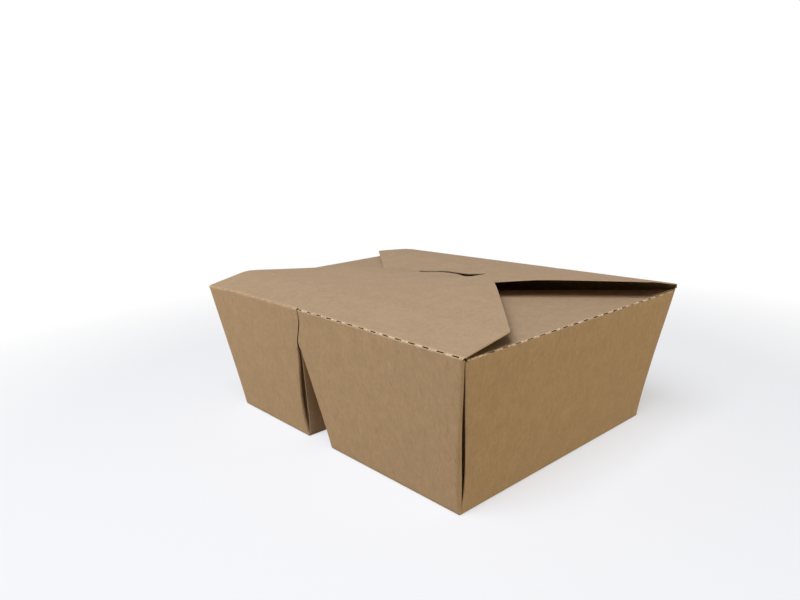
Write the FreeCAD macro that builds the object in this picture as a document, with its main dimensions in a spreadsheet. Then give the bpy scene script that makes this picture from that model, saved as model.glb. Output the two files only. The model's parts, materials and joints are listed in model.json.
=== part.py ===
import FreeCAD, Part
import math
import os

import Sketcher
from FreeCAD import Placement, Rotation, Vector

# Takeaway box of folded kraft board, in millimetres.
# +Z is up, X runs along the long side, and the front wall faces -Y.
# The origin is the centre of the flat bottom, on the surface that the box stands on.

SIZES = (
    ("board", 0.45, "thickness of the kraft board"),
    ("tray_height", 64.5, "bottom to rim"),
    ("rim_length", 180.0, "outside length at the rim"),
    ("rim_width", 144.0, "outside width at the rim"),
    ("base_length", 156.6, "outside length at the bottom"),
    ("base_width", 125.6, "outside width at the bottom"),
    ("corner_round", 0.6, "rounding of the upright outside corners"),
    ("fold_round", 0.5, "radius of the board's middle in a fold at the rim"),
    ("divider_offset", -10.5, "divider from the middle of the long side"),
    ("tunnel_width", 19.6, "opening under the divider at the bottom"),
    ("tunnel_height", 49.0, "height of the inside of the divider's fold"),
    ("fold_bore", 0.3, "width left inside the divider's top fold"),
    ("seam_width", 0.3, "gap between the two panels of the front and back walls"),
    ("web_drop", 3.0, "top edge of the corner webs below the rim or the divider's top"),
    ("web_gap", 0.3, "gap between the two layers of a corner web"),
    ("web_slot_depth", 6.0, "how far the web's gap runs in behind the wall"),
    ("mouth_width", 3.2, "widest part of a web's open mouth"),
    ("mouth_slit", 0.5, "width of the mouth's narrow upper part"),
    ("mouth_foot", 1.5, "closed stretch below a web's mouth"),
    ("crease_gap", 0.2, "gap between the front wall's top and the front flap's root"),
    ("end_flap_length", 62.0, "end flap from its crease to its tip"),
    ("end_flap_inset", 3.5, "end flap's root inside each corner"),
    ("end_flap_taper", 36.0, "how much each side of an end flap narrows towards its tip"),
    ("end_flap_droop", 1.6, "end flap's tip below its crease"),
    ("front_side", 23.5, "straight side of the front flap beside its crease"),
    ("shoulder_width", 54.4, "front flap's width where its slanting sides end"),
    ("slit_reach", 88.2, "front crease to the locking slit"),
    ("slit_length", 50.0, "length of the locking slit"),
    ("tongue_width", 48.4, "width of the locking tongue"),
    ("tongue_drop", 9.0, "tongue's tip below its bend"),
    ("tongue_round", 6.0, "rounding of the tongue's corners"),
    ("tongue_bend", 1.0, "radius of the board's middle where the tongue turns down"),
    ("slot_front", 0.6, "gap between the tongue and the slit's front lip"),
    ("slot_back", 0.3, "gap between the tongue and the slit's back lip"),
    ("lap_gap", 0.2, "gap between the front flap and the back flap under it"),
    ("back_inset", 0.5, "back flap's root inside each corner"),
    ("back_side", 26.0, "straight side of the back flap beside its crease"),
    ("back_tip_reach", 16.2, "locking slit to the back flap's tip"),
    ("back_tip_width", 64.0, "width of the back flap's tip"),
    ("back_fold_lift", 0.6, "top of the back crease above the rim"),
    ("back_fold_run", 4.0, "even slope beside the back crease before the flap twists"),
    ("flap_corner_round", 2.5, "rounding of the flaps' free corners"),
    ("shoulder_rise", 4.9, "front flap above the rim at the end of its straight sides"),
    ("bow_reach", 60.0, "front crease to the highest part of the front flap"),
    ("bow_left", 4.8, "front flap's highest part above the rim at the left end"),
    ("bow_right", 9.2, "front flap's highest part above the rim at the right end"),
    ("slit_rise_left", 1.8, "back flap above the rim at the slit's left end"),
    ("slit_rise_right", 6.4, "back flap above the rim at the slit's right end"),
    ("edge_lift", 2.4, "rise of both flaps from the slit to the right edge"),
    ("back_rise_left", 3.0, "back flap above the rim at its left corner"),
    ("back_rise_right", 6.8, "back flap above the rim at its right corner"),
    ("back_tip_dip", 1.0, "back flap's tip below the slit"),
    ("bow_round", 60.0, "radius of the flaps' shallow bends"),
    ("twist_round", 20.0, "radius of the back flap's bend beside its crease"),
    ("foot_round", 0.6, "rounding of the fold round the bottom"),
    ("nick_pitch", 7.0, "from one cut of a perforated crease to the next"),
    ("nick_length", 3.1, "length of a cut in a perforated crease"),
    ("nick_width", 0.35, "width of a cut in a perforated crease"),
    ("long_nick_margin", 2.2, "uncut crease at the right end of the long flaps"),
    ("end_nick_margin", 7.45, "uncut crease at each end of the end flaps, in from the rim's corner"),
)

# Formulas shared by several pieces: how far each wall leans out for each millimetre of height,
# and how much room its slanting board takes up level with the bottom.
END_LEAN = "(({rim_length} - {base_length}) / 2 / {tray_height})"
SIDE_LEAN = "(({rim_width} - {base_width}) / 2 / {tray_height})"
DIVIDER_LEAN = "(({tunnel_width} - {fold_bore}) / 2 / {tunnel_height})"
END_BOARD = "({board} * sqrt(1 + %s * %s))" % (END_LEAN, END_LEAN)
SIDE_BOARD = "({board} * sqrt(1 + %s * %s))" % (SIDE_LEAN, SIDE_LEAN)
DIVIDER_BOARD = "({board} * sqrt(1 + %s * %s))" % (DIVIDER_LEAN, DIVIDER_LEAN)
FLOOR = "{board}"
ABOVE_RIM = "({tray_height} + {board})"
SLIT_LINE = "({slit_reach} - {rim_width} / 2)"
SHOULDER_LINE = "({slit_reach} - {rim_width} / 2 - {tongue_bend} - 2 * {board})"

# Outside directions along X and along Y.
LEFT = -1
RIGHT = 1
FRONT = -1
BACK = 1

# Where the mouth of a web is widest and where it has narrowed, as shares of the wall's slope.
MOUTH_WIDEST = 0.27
MOUTH_NARROWED = 0.62

# How much of the front or back wall stays whole beside a mouth, in thicknesses of the board.
MOUTH_INSET = 1.2

# Spare height or reach that a cutting or trimming block has beyond the board that it meets.
SPARE = 2.0

document = FreeCAD.newDocument("takeaway_box")
sheet = document.addObject("Spreadsheet::Sheet", "sizes")


def fill_sheet():
    """One row for each driving size: its name, value and meaning."""
    for row, (alias, value, meaning) in enumerate(SIZES, start=1):
        sheet.set("A%d" % row, alias)
        sheet.set("B%d" % row, str(value))
        sheet.set("C%d" % row, meaning)
        sheet.setAlias("B%d" % row, alias)
    document.recompute()


def size(alias):
    """A driving size's number, read from the sheet."""
    return float(getattr(sheet, alias))


def cell(formula):
    """A formula in braced size names, turned into one that reads the sheet."""
    for alias, _, _ in SIZES:
        formula = formula.replace("{" + alias + "}", "sizes." + alias)
    return formula


def worked(formula):
    """The number that a formula in braced size names gives."""
    return float(sheet.evalExpression(cell(formula)))


def bind(item, **formulas):
    """Ties an object's properties to the sheet."""
    for name, formula in formulas.items():
        item.setExpression(name, cell(formula))


def boolean(kind, name, **links):
    """A boolean of other objects of the document."""
    item = document.addObject("Part::" + kind, name)
    for key, value in links.items():
        setattr(item, key, value)
    item.Refine = True
    document.recompute()
    return item


def feature(name, shape):
    """A solid made directly from its corners and curves."""
    item = document.addObject("Part::Feature", name)
    item.Shape = shape
    return item


def rounded(name, base, radius, wanted):
    """Rounds the edges of a solid that the test picks."""
    document.recompute()
    item = document.addObject("Part::Fillet", name)
    item.Base = base
    edges = enumerate(base.Shape.Edges, start=1)
    item.Edges = [(number, radius, radius) for number, edge in edges if wanted(edge)]
    document.recompute()
    return item


def tapered_block(name, heights, low_x, high_x, low_half, high_half):
    """A block whose rectangle in plan changes evenly from one height to another.

    low_x and high_x are its ranges of X at the two heights, and low_half and high_half are half
    its width there. All are formulas.
    """
    block = document.addObject("Part::Wedge", name)
    bind(
        block,
        Ymin=heights[0],
        Ymax=heights[1],
        Xmin=low_x[0],
        Xmax=low_x[1],
        X2min=high_x[0],
        X2max=high_x[1],
        Zmin="-(%s)" % low_half,
        Zmax=low_half,
        Z2min="-(%s)" % high_half,
        Z2max=high_half,
    )
    block.Placement = Placement(Vector(), Rotation(Vector(1, 0, 0), 90))
    return block


def plan_prism(name, corners, low, high):
    """A prism between two heights on a sketched outline in plan, with formulas as its corners."""
    sketch = document.addObject("Sketcher::SketchObject", name + "_outline")
    spots = [Vector(worked(across), worked(along), 0) for across, along in corners]
    for index, spot in enumerate(spots):
        sketch.addGeometry(Part.LineSegment(spot, spots[(index + 1) % len(spots)]), False)
    for index, (across, along) in enumerate(corners):
        following = (index + 1) % len(spots)
        sketch.addConstraint(Sketcher.Constraint("Coincident", index, 2, following, 1))
        spot = spots[index]
        wide = sketch.addConstraint(Sketcher.Constraint("DistanceX", -1, 1, index, 1, spot.x))
        sketch.setExpression("Constraints[%d]" % wide, cell(across))
        deep = sketch.addConstraint(Sketcher.Constraint("DistanceY", -1, 1, index, 1, spot.y))
        sketch.setExpression("Constraints[%d]" % deep, cell(along))
    sketch.Placement = Placement(Vector(0, 0, worked(low)), Rotation())
    bind(sketch, **{"Placement.Base.z": low})
    prism = document.addObject("Part::Extrusion", name)
    prism.Base = sketch
    prism.DirMode = "Custom"
    prism.Dir = Vector(0, 0, 1)
    prism.Solid = True
    bind(prism, LengthFwd="(%s) - (%s)" % (high, low))
    document.recompute()
    return prism


def is_upright(edge):
    """Whether a straight edge stands up rather than lying level."""
    ends = [vertex.Point for vertex in edge.Vertexes]
    return abs(ends[0].z - ends[-1].z) > size("tray_height") / 2


def is_at_foot(edge):
    """Whether an edge lies in the plane that the box stands on."""
    return edge.BoundBox.ZMax < size("board") / 2


def tray_shell():
    """Bottom, four leaning walls and the divider that is folded up out of the bottom."""
    half_at = "({base_width} / 2 + %s * %s - %s)"
    outer = tapered_block(
        "outside",
        ("0", "{tray_height}"),
        ("-{base_length} / 2", "{base_length} / 2"),
        ("-{rim_length} / 2", "{rim_length} / 2"),
        "{base_width} / 2",
        "{rim_width} / 2",
    )
    upright = rounded("corners_rounded", outer, size("corner_round"), is_upright)
    body = rounded("outside_rounded", upright, size("foot_round"), is_at_foot)
    end_at = "({base_length} / 2 + %s * %s - %s)"
    divider_at = "({tunnel_width} / 2 - %s * %s + %s)"
    rooms = []
    for name, side in (("left_room", LEFT), ("right_room", RIGHT)):
        ranges = []
        for height in (FLOOR, ABOVE_RIM):
            end = "%d * %s" % (side, end_at % (END_LEAN, height, END_BOARD))
            fold = divider_at % (DIVIDER_LEAN, height, DIVIDER_BOARD)
            inner = "{divider_offset} + %d * %s" % (side, fold)
            ranges.append((end, inner) if side == LEFT else (inner, end))
        halves = [half_at % (SIDE_LEAN, height, SIDE_BOARD) for height in (FLOOR, ABOVE_RIM)]
        rooms.append(tapered_block(name, (FLOOR, ABOVE_RIM), *ranges, *halves))
    tunnel = tapered_block(
        "tunnel",
        ("0", "{tunnel_height}"),
        ("{divider_offset} - {tunnel_width} / 2", "{divider_offset} + {tunnel_width} / 2"),
        ("{divider_offset} - {fold_bore} / 2", "{divider_offset} + {fold_bore} / 2"),
        "{rim_width}",
        "{rim_width}",
    )
    hollow = boolean("MultiFuse", "hollow", Shapes=rooms)
    open_tray = boolean("Cut", "open_tray", Base=body, Tool=hollow)
    folded = boolean("Cut", "folded_tray", Base=open_tray, Tool=tunnel)

    def is_divider_top(edge):
        ends = [vertex.Point for vertex in edge.Vertexes]
        level = all(point.z > size("tunnel_height") + size("board") / 2 for point in ends)
        inside = all(abs(point.x - size("divider_offset")) < size("board") for point in ends)
        return level and inside and edge.Length > size("base_width") / 2

    return rounded("divider_rounded", folded, size("board"), is_divider_top)


def rim_cuts():
    """Room for the front flap's root along the front wall, and the seams over the divider."""
    ledge = document.addObject("Part::Box", "front_ledge")
    bind(
        ledge,
        Length="{rim_length} + %g" % (2 * SPARE),
        Width="{end_flap_inset} + %g" % SPARE,
        Height="{board} + {crease_gap} + %g" % SPARE,
    )
    bind(ledge, **{
        "Placement.Base.x": "-{rim_length} / 2 - %g" % SPARE,
        "Placement.Base.y": "-{rim_width} / 2 - %g" % SPARE,
        "Placement.Base.z": "{tray_height} - {board} - {crease_gap}",
    })
    seam = document.addObject("Part::Box", "seams")
    bind(
        seam,
        Length="{seam_width}",
        Width="{rim_width} + %g" % (2 * SPARE),
        Height="{tray_height} - {tunnel_height} + %g" % (2 * SPARE),
    )
    bind(seam, **{
        "Placement.Base.x": "{divider_offset} - {seam_width} / 2",
        "Placement.Base.y": "-{rim_width} / 2 - %g" % SPARE,
        "Placement.Base.z": "{tunnel_height} + 2 * {board}",
    })
    return [ledge, seam]


class WebCorner:
    """A corner where an end wall or a divider wall meets the front or the back wall.

    Places are given along the wall from the corner, up its slope and in through its board.
    facing is the X direction that the wall's outside looks.
    """

    def __init__(self, foot_x, facing, lean, height, across):
        slope = math.hypot(1, lean)
        self.foot = Vector(foot_x, across * size("base_width") / 2, 0)
        self.along = Vector(0, -across, 0)
        self.upward = Vector(facing * lean, 0, 1) / slope
        self.inward = Vector(-facing, 0, lean) / slope
        self.slope = height * slope
        self.spread = worked(SIDE_LEAN) / slope
        front_corner = math.atan(lean / math.hypot(1, worked(SIDE_LEAN)))
        wall_corner = math.atan(self.spread)
        self.half_angle = math.radians(45) - (front_corner + wall_corner) / 2

    def spot(self, along, up, deep):
        run = self.along * (along - self.spread * up)
        return self.foot + run + self.upward * up + self.inward * deep

    def plate(self, outline, low, high):
        """A plate on a closed outline of straight runs, between two depths."""
        wire = Part.makePolygon([self.spot(along, up, low) for along, up in outline])
        return Part.Face(wire).extrude(self.inward * (high - low))

    def web(self):
        """The two layers of the web, folded flat against the inside of the wall."""
        start = size("board") / 2
        top = self.slope - size("web_drop")
        width = top * math.tan(self.half_angle)
        outline = [(start, start), (start, top), (width, top), (start, start)]
        return self.plate(outline, start, 3 * size("board") + size("web_gap"))

    def gap(self, top):
        """The room between the web's two layers, open at its mouth beside the corner."""
        near = MOUTH_INSET * size("board")
        layers = 2 * size("board")
        foot = size("mouth_foot")
        far = size("web_slot_depth")
        slot_outline = [(near, foot), (near, top), (far, top), (far, foot), (near, foot)]
        slot = self.plate(slot_outline, layers, layers + size("web_gap"))
        outside = -size("board")
        curve = Part.BSplineCurve()
        curve.interpolate([
            self.spot(near, foot, outside),
            self.spot(near + size("mouth_width"), MOUTH_WIDEST * self.slope, outside),
            self.spot(near + size("mouth_slit"), MOUTH_NARROWED * self.slope, outside),
            self.spot(near + size("mouth_slit"), top, outside),
        ])
        lip = Part.makePolygon([curve.EndPoint, self.spot(near, top, outside), curve.StartPoint])
        mouth_wire = Part.Wire([curve.toShape()] + lip.Edges)
        mouth = Part.Face(mouth_wire).extrude(self.inward * (layers + size("web_gap") - outside))
        return slot.fuse(mouth)


def web_corners():
    """The eight corners: four outside, and four where the divider meets the long walls."""
    corners = []
    end_lean = worked(END_LEAN)
    divider_lean = worked(DIVIDER_LEAN)
    for across in (FRONT, BACK):
        for side in (LEFT, RIGHT):
            foot = side * size("base_length") / 2
            corners.append((WebCorner(foot, side, end_lean, size("tray_height"), across), SPARE))
            foot = size("divider_offset") + side * size("tunnel_width") / 2
            height = size("tunnel_height")
            divider = WebCorner(foot, -side, divider_lean, height, across)
            corners.append((divider, -size("web_drop")))
    return corners


def strip_wire(corners, bends, place):
    """Outline of a folded strip of board seen from its edge.

    corners are the strip's middle line, bends are the radius at each corner between its ends,
    and place turns a corner's two numbers into a point.
    """
    half = size("board") / 2
    points = [Vector(across, up, 0) for across, up in corners]
    runs = [(after - before).normalize() for before, after in zip(points, points[1:])]
    sides = {}
    for side in (1, -1):
        first = Vector(-runs[0].y, runs[0].x, 0) * (side * half)
        last = Vector(-runs[-1].y, runs[-1].x, 0) * (side * half)
        spots = [points[0] + first]
        for index, radius in enumerate(bends):
            ahead, behind = runs[index + 1], runs[index]
            corner = points[index + 1]
            turn = math.copysign(1, behind.cross(ahead).z)
            angle = behind.getAngle(ahead)
            start = corner - behind * (radius * math.tan(angle / 2))
            end = corner + ahead * (radius * math.tan(angle / 2))
            centre = start + Vector(-behind.y, behind.x, 0) * (turn * radius)
            middle = centre + (corner - centre).normalize() * radius
            share = (radius - side * turn * half) / radius
            spots += [centre + (spot - centre) * share for spot in (start, middle, end)]
        sides[side] = spots + [points[-1] + last]
    edges = []
    for spots in (sides[1], sides[-1][::-1]):
        placed = [place(spot.x, spot.y) for spot in spots]
        for index in range(0, len(placed) - 1, 3):
            edges.append(Part.LineSegment(placed[index], placed[index + 1]).toShape())
            if index + 3 < len(placed) - 1:
                arc = Part.Arc(placed[index + 1], placed[index + 2], placed[index + 3])
                edges.append(arc.toShape())
    half_count = len(edges) // 2
    edges.insert(half_count, Part.makeLine(place(*sides[1][-1][:2]), place(*sides[-1][-1][:2])))
    edges.append(Part.makeLine(place(*sides[-1][0][:2]), place(*sides[1][0][:2])))
    return Part.Wire(edges)


def across_box(x):
    """Places a strip's outline in the plane across the box at x."""
    return lambda y, z: Vector(x, y, z)


def between(left, right, x):
    """A height that changes evenly from the box's left edge to its right edge."""
    share = x / size("rim_length") + 0.5
    return left + (right - left) * share


def slit_rise(x):
    """The back flap's height above the rim at the slit, carried on level to the left edge."""
    reach = size("slit_length") / 2
    share = max(0.0, min(1.0, (x + reach) / (2 * reach)))
    rise = size("slit_rise_left") + (size("slit_rise_right") - size("slit_rise_left")) * share
    outside = max(0.0, (x - reach) / (size("rim_length") / 2 - reach))
    return rise + size("edge_lift") * outside


def section_places():
    """Where along the box the flaps' sections lie: both edges and both ends of the slit."""
    edge = size("rim_length") / 2
    slit = size("slit_length") / 2
    return (-edge, -slit, slit, edge)


def hinge_line():
    """Y and Z of the front crease, in the middle of the board."""
    return -size("rim_width") / 2 + size("board") / 2, size("tray_height") - size("board") / 2


def front_section(x):
    """The front flap from its crease over its bow to the tongue's tip."""
    y, z = hinge_line()
    rim = -size("rim_width") / 2
    slit_y = rim + size("slit_reach")
    slit_z = z + slit_rise(x) + size("board") + size("lap_gap")
    swing = math.hypot(slit_y - y, slit_z - z)
    tip_z = slit_z - size("tongue_drop")
    corners = [
        (y, z),
        (rim + size("front_side"), z + size("shoulder_rise")),
        (rim + size("bow_reach"), z + between(size("bow_left"), size("bow_right"), x)),
        (slit_y, slit_z),
        (y + math.sqrt(swing ** 2 - (tip_z - z) ** 2), tip_z),
    ]
    bends = [size("bow_round"), size("bow_round"), size("tongue_bend")]
    return strip_wire(corners, bends, across_box(x))


def back_root():
    """Y and Z of the back flap's root in the wall, of its crease, and of the run beside that."""
    rim = size("rim_width") / 2
    fold_z = size("tray_height") - size("board") / 2 + size("back_fold_lift")
    lean = worked(SIDE_LEAN)
    middle = size("base_width") / 2 - worked(SIDE_BOARD) / 2
    root_z = size("tray_height") - SPARE
    run = size("back_fold_run")
    mean_rise = (size("back_rise_left") + size("back_rise_right")) / 2 - size("back_fold_lift")
    return [
        (middle + lean * root_z, root_z),
        (middle + lean * fold_z, fold_z),
        (rim - run, fold_z + mean_rise * run / size("back_side")),
    ]


def back_section(x):
    """The back flap from the back wall's top over its crease to its tip."""
    side_y = size("rim_width") / 2 - size("back_side")
    slit_y = worked(SLIT_LINE)
    z = size("tray_height") - size("board") / 2
    corners = back_root() + [
        (side_y, z + between(size("back_rise_left"), size("back_rise_right"), x)),
        (slit_y, z + slit_rise(x)),
        (slit_y - size("back_tip_reach"), z + slit_rise(x) - size("back_tip_dip")),
    ]
    bends = [size("fold_round"), size("twist_round"), size("bow_round"), size("bow_round")]
    return strip_wire(corners, bends, across_box(x))


def nick_middles(low, high):
    """Places of the cuts of a perforated crease, spaced from its high end."""
    half = size("nick_length") / 2
    count = int((high - low - 2 * half) / size("nick_pitch")) + 1
    return [high - half - index * size("nick_pitch") for index in range(count)]


def long_nick_middles():
    """Where the cuts of the front and the back flap's creases lie along X."""
    edge = size("rim_length") / 2 - size("long_nick_margin")
    return nick_middles(-edge, edge)


def end_nick_middles():
    """Where the cuts of an end flap's crease lie along Y."""
    edge = size("rim_width") / 2 - size("end_nick_margin")
    return nick_middles(-edge, edge)


def nicks(name, middles, spot, outward):
    """The cuts of a perforated crease, square through the board.

    spot turns a place along the crease into a point in the middle of the board, and outward is
    the direction through the board there.
    """
    along = (spot(1) - spot(0)).normalize()
    wide = along.cross(outward) * (size("nick_width") / 2)
    reach = along * (size("nick_length") / 2)
    deep = outward * size("board")
    cuts = []
    for middle in middles:
        start = spot(middle) - deep
        corners = [start - reach - wide, start + reach - wide, start + reach + wide]
        corners += [start - reach + wide, corners[0]]
        cuts.append(Part.Face(Part.makePolygon(corners)).extrude(deep * 2))
    return feature(name, Part.makeCompound(cuts))


def fold_middle(corner, before, after):
    """The middle of a fold's arc and the way out through the board there."""
    inward = (before - corner).normalize() + (after - corner).normalize()
    inward.normalize()
    half_angle = inward.getAngle(before - corner)
    depth = size("fold_round") * (1 / math.sin(half_angle) - 1)
    return corner + inward * depth, inward * -1


def tongue_block():
    """A block that trims the tongue to its width and rounds its corners."""
    half = size("tongue_width") / 2
    radius = size("tongue_round")
    near_y = worked(SHOULDER_LINE)
    z = size("tray_height") - size("board") / 2 + size("board") + size("lap_gap")
    high = size("tray_height") + size("bow_right") + SPARE

    def tip(x):
        return z + slit_rise(x) - size("tongue_drop")

    def spot(x, height):
        return Vector(x, near_y, height)

    cut_in = radius * (1 - math.sqrt(0.5))
    left_arc = Part.Arc(
        spot(-half, tip(-half) + radius),
        spot(-half + cut_in, tip(-half + cut_in) + cut_in),
        spot(-half + radius, tip(-half + radius)),
    )
    right_arc = Part.Arc(
        spot(half - radius, tip(half - radius)),
        spot(half - cut_in, tip(half - cut_in) + cut_in),
        spot(half, tip(half) + radius),
    )
    bottom = Part.LineSegment(left_arc.EndPoint, right_arc.StartPoint)
    rest = Part.makePolygon([
        right_arc.EndPoint, spot(half, high), spot(-half, high), left_arc.StartPoint,
    ])
    wire = Part.Wire([left_arc.toShape(), bottom.toShape(), right_arc.toShape()] + rest.Edges)
    return Part.Face(wire).extrude(Vector(0, size("tongue_bend") + 4 * size("board") + SPARE, 0))


def front_flap():
    """The top flap, with its locking tongue and the rolled root that it turns on."""
    sheet_shape = Part.makeLoft([front_section(x) for x in section_places()], True, True)
    bowed = feature("front_flap_sheet", sheet_shape)
    side_y = "-{rim_width} / 2 + {front_side}"
    panel_outline = plan_prism(
        "front_flap_panel",
        (
            ("-{rim_length} / 2", "-{rim_width} / 2 - %g" % SPARE),
            ("{rim_length} / 2", "-{rim_width} / 2 - %g" % SPARE),
            ("{rim_length} / 2", side_y),
            ("{shoulder_width} / 2", SHOULDER_LINE),
            ("-{shoulder_width} / 2", SHOULDER_LINE),
            ("-{rim_length} / 2", side_y),
        ),
        "{tray_height} - %g" % SPARE,
        "{tray_height} + {bow_right} + %g" % SPARE,
    )

    def is_free_corner(edge):
        ends = [vertex.Point for vertex in edge.Vertexes]
        return abs(ends[0].z - ends[-1].z) > SPARE and ends[0].y > -size("rim_width") / 2

    rounded_outline = rounded(
        "front_flap_corners", panel_outline, size("flap_corner_round"), is_free_corner
    )
    tongue_outline = feature("tongue_outline", tongue_block())
    outline = boolean("MultiFuse", "front_flap_trim", Shapes=[rounded_outline, tongue_outline])
    trimmed = boolean("MultiCommon", "front_flap_trimmed", Shapes=[bowed, outline])
    root = document.addObject("Part::Cylinder", "front_flap_root")
    bind(root, Radius="{board} / 2", Height="{rim_length}")
    y, z = hinge_line()
    root.Placement = Placement(
        Vector(-size("rim_length") / 2, y, z), Rotation(Vector(0, 1, 0), 90)
    )
    joined = boolean("MultiFuse", "front_flap_uncut", Shapes=[trimmed, root])
    cut_y = y + size("board") / 2 + size("nick_width")

    def spot(x):
        return Vector(x, cut_y, z)

    cuts = nicks("front_flap_nicks", long_nick_middles(), spot, Vector(0, 0, 1))
    return boolean("Cut", "front_flap", Base=joined, Tool=cuts)


def back_flap():
    """The flap under the front one, with the slit that takes the tongue."""
    sheet_shape = Part.makeLoft([back_section(x) for x in section_places()], True, True)
    bowed = feature("back_flap_sheet", sheet_shape)
    edge = "{rim_length} / 2 - {back_inset}"
    side_y = "{rim_width} / 2 - {back_side}"
    tip_y = SLIT_LINE + " - {back_tip_reach}"
    outline = plan_prism(
        "back_flap_panel",
        (
            ("-(%s)" % edge, "{rim_width} / 2 + %g" % SPARE),
            ("-(%s)" % edge, side_y),
            ("-{back_tip_width} / 2", tip_y),
            ("{back_tip_width} / 2", tip_y),
            (edge, side_y),
            (edge, "{rim_width} / 2 + %g" % SPARE),
        ),
        "{tray_height} - 2 * %g" % SPARE,
        "{tray_height} + {bow_right} + %g" % SPARE,
    )

    def is_free_corner(edge):
        ends = [vertex.Point for vertex in edge.Vertexes]
        return abs(ends[0].z - ends[-1].z) > SPARE and ends[0].y < size("rim_width") / 2

    rounded_outline = rounded(
        "back_flap_corners", outline, size("flap_corner_round"), is_free_corner
    )
    trimmed = boolean("MultiCommon", "back_flap_trimmed", Shapes=[bowed, rounded_outline])
    slit = document.addObject("Part::Box", "slit")
    bind(
        slit,
        Length="{slit_length}",
        Width="{board} + {slot_front} + {slot_back}",
        Height="{bow_right} + 2 * %g" % SPARE,
    )
    bind(slit, **{
        "Placement.Base.x": "-{slit_length} / 2",
        "Placement.Base.y": SLIT_LINE + " - {board} / 2 - {slot_front}",
        "Placement.Base.z": "{tray_height} - %g" % SPARE,
    })
    root, crease, run = [Vector(0, *corner) for corner in back_root()]
    middle, outward = fold_middle(crease, root, run)

    def spot(x):
        return Vector(x, middle.y, middle.z)

    cuts = nicks("back_flap_nicks", long_nick_middles(), spot, outward)
    tools = boolean("MultiFuse", "back_flap_cuts", Shapes=[slit, cuts])
    return boolean("Cut", "back_flap", Base=trimmed, Tool=tools)


def end_flap(name, side):
    """A narrowing flap folded in from an end wall."""
    z = size("tray_height") - size("board") / 2
    lean = worked(END_LEAN)
    middle = size("base_length") / 2 - worked(END_BOARD) / 2
    root_z = size("tray_height") - SPARE
    tip_x = size("rim_length") / 2 - size("end_flap_length")
    root_y = size("rim_width") / 2 - size("end_flap_inset")
    corners = [
        (middle + lean * root_z, root_z),
        (middle + lean * z, z),
        (tip_x, z - size("end_flap_droop")),
    ]

    def place(x, height):
        return Vector(side * x, -root_y, height)

    section = Part.Face(strip_wire(corners, [size("fold_round")], place))
    strip = feature(name + "_strip", section.extrude(Vector(0, 2 * root_y, 0)))
    root_x = "%d * ({rim_length} / 2)" % side
    beyond_x = "%d * ({rim_length} / 2 + %g)" % (side, SPARE)
    end_x = "%d * ({rim_length} / 2 - {end_flap_length} - %g)" % (side, SPARE)
    root_half = "({rim_width} / 2 - {end_flap_inset})"
    tip_half = "({rim_width} / 2 - {end_flap_inset} - {end_flap_taper})"
    outline = plan_prism(
        name + "_panel",
        (
            (beyond_x, "-" + root_half),
            (beyond_x, root_half),
            (root_x, root_half),
            (end_x, tip_half),
            (end_x, "-" + tip_half),
            (root_x, "-" + root_half),
        ),
        "{tray_height} - 2 * %g" % SPARE,
        "{tray_height} + %g" % SPARE,
    )
    trimmed = boolean("MultiCommon", name + "_trimmed", Shapes=[strip, outline])
    middle, outward = fold_middle(*[place(*corners[index]) for index in (1, 0, 2)])

    def spot(y):
        return Vector(middle.x, y, middle.z)

    cuts = nicks(name + "_nicks", end_nick_middles(), spot, outward)
    return boolean("Cut", name, Base=trimmed, Tool=cuts)


def tray():
    """The folded sheet: tray, divider, webs, end flaps and back flap, all one piece of board."""
    shell = tray_shell()
    corners = web_corners()
    webs = [corner.web() for corner, above in corners]
    gaps = [corner.gap(corner.slope + above) for corner, above in corners]
    web_layers = feature("webs", webs[0].multiFuse(webs[1:]))
    web_gaps = feature("web_gaps", gaps[0].multiFuse(gaps[1:]))
    lined = boolean("MultiFuse", "lined_tray", Shapes=[shell, web_layers])
    cuts = boolean("MultiFuse", "tray_cuts", Shapes=rim_cuts() + [web_gaps])
    cut_tray = boolean("Cut", "cut_tray", Base=lined, Tool=cuts)
    flaps = [back_flap(), end_flap("left_end_flap", LEFT), end_flap("right_end_flap", RIGHT)]
    return boolean("MultiFuse", "tray", Shapes=[cut_tray] + flaps)


def check_and_write(pieces):
    """Stops on any failed or broken object, then writes each piece as its own file."""
    document.recompute()
    for item in document.Objects:
        if "Invalid" in item.State or "Error" in item.State:
            raise RuntimeError("%s could not be made: %s" % (item.Name, item.State))
    os.makedirs("parts", exist_ok=True)
    for piece in pieces:
        shape = piece.Shape
        if shape.isNull() or not shape.isValid() or len(shape.Solids) != 1:
            raise RuntimeError("%s is not one sound solid" % piece.Label)
        print(piece.Label, "volume", round(shape.Volume, 1), "faces", len(shape.Faces))
        print("  box", shape.BoundBox)
    for piece in pieces:
        piece.Shape.exportStep(os.path.join("parts", piece.Label + ".step"))


fill_sheet()
check_and_write([tray(), front_flap()])
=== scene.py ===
import json
import math

import bmesh
import bpy
from bpy.props import FloatProperty, FloatVectorProperty, PointerProperty
from mathutils import Matrix, Vector


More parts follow.
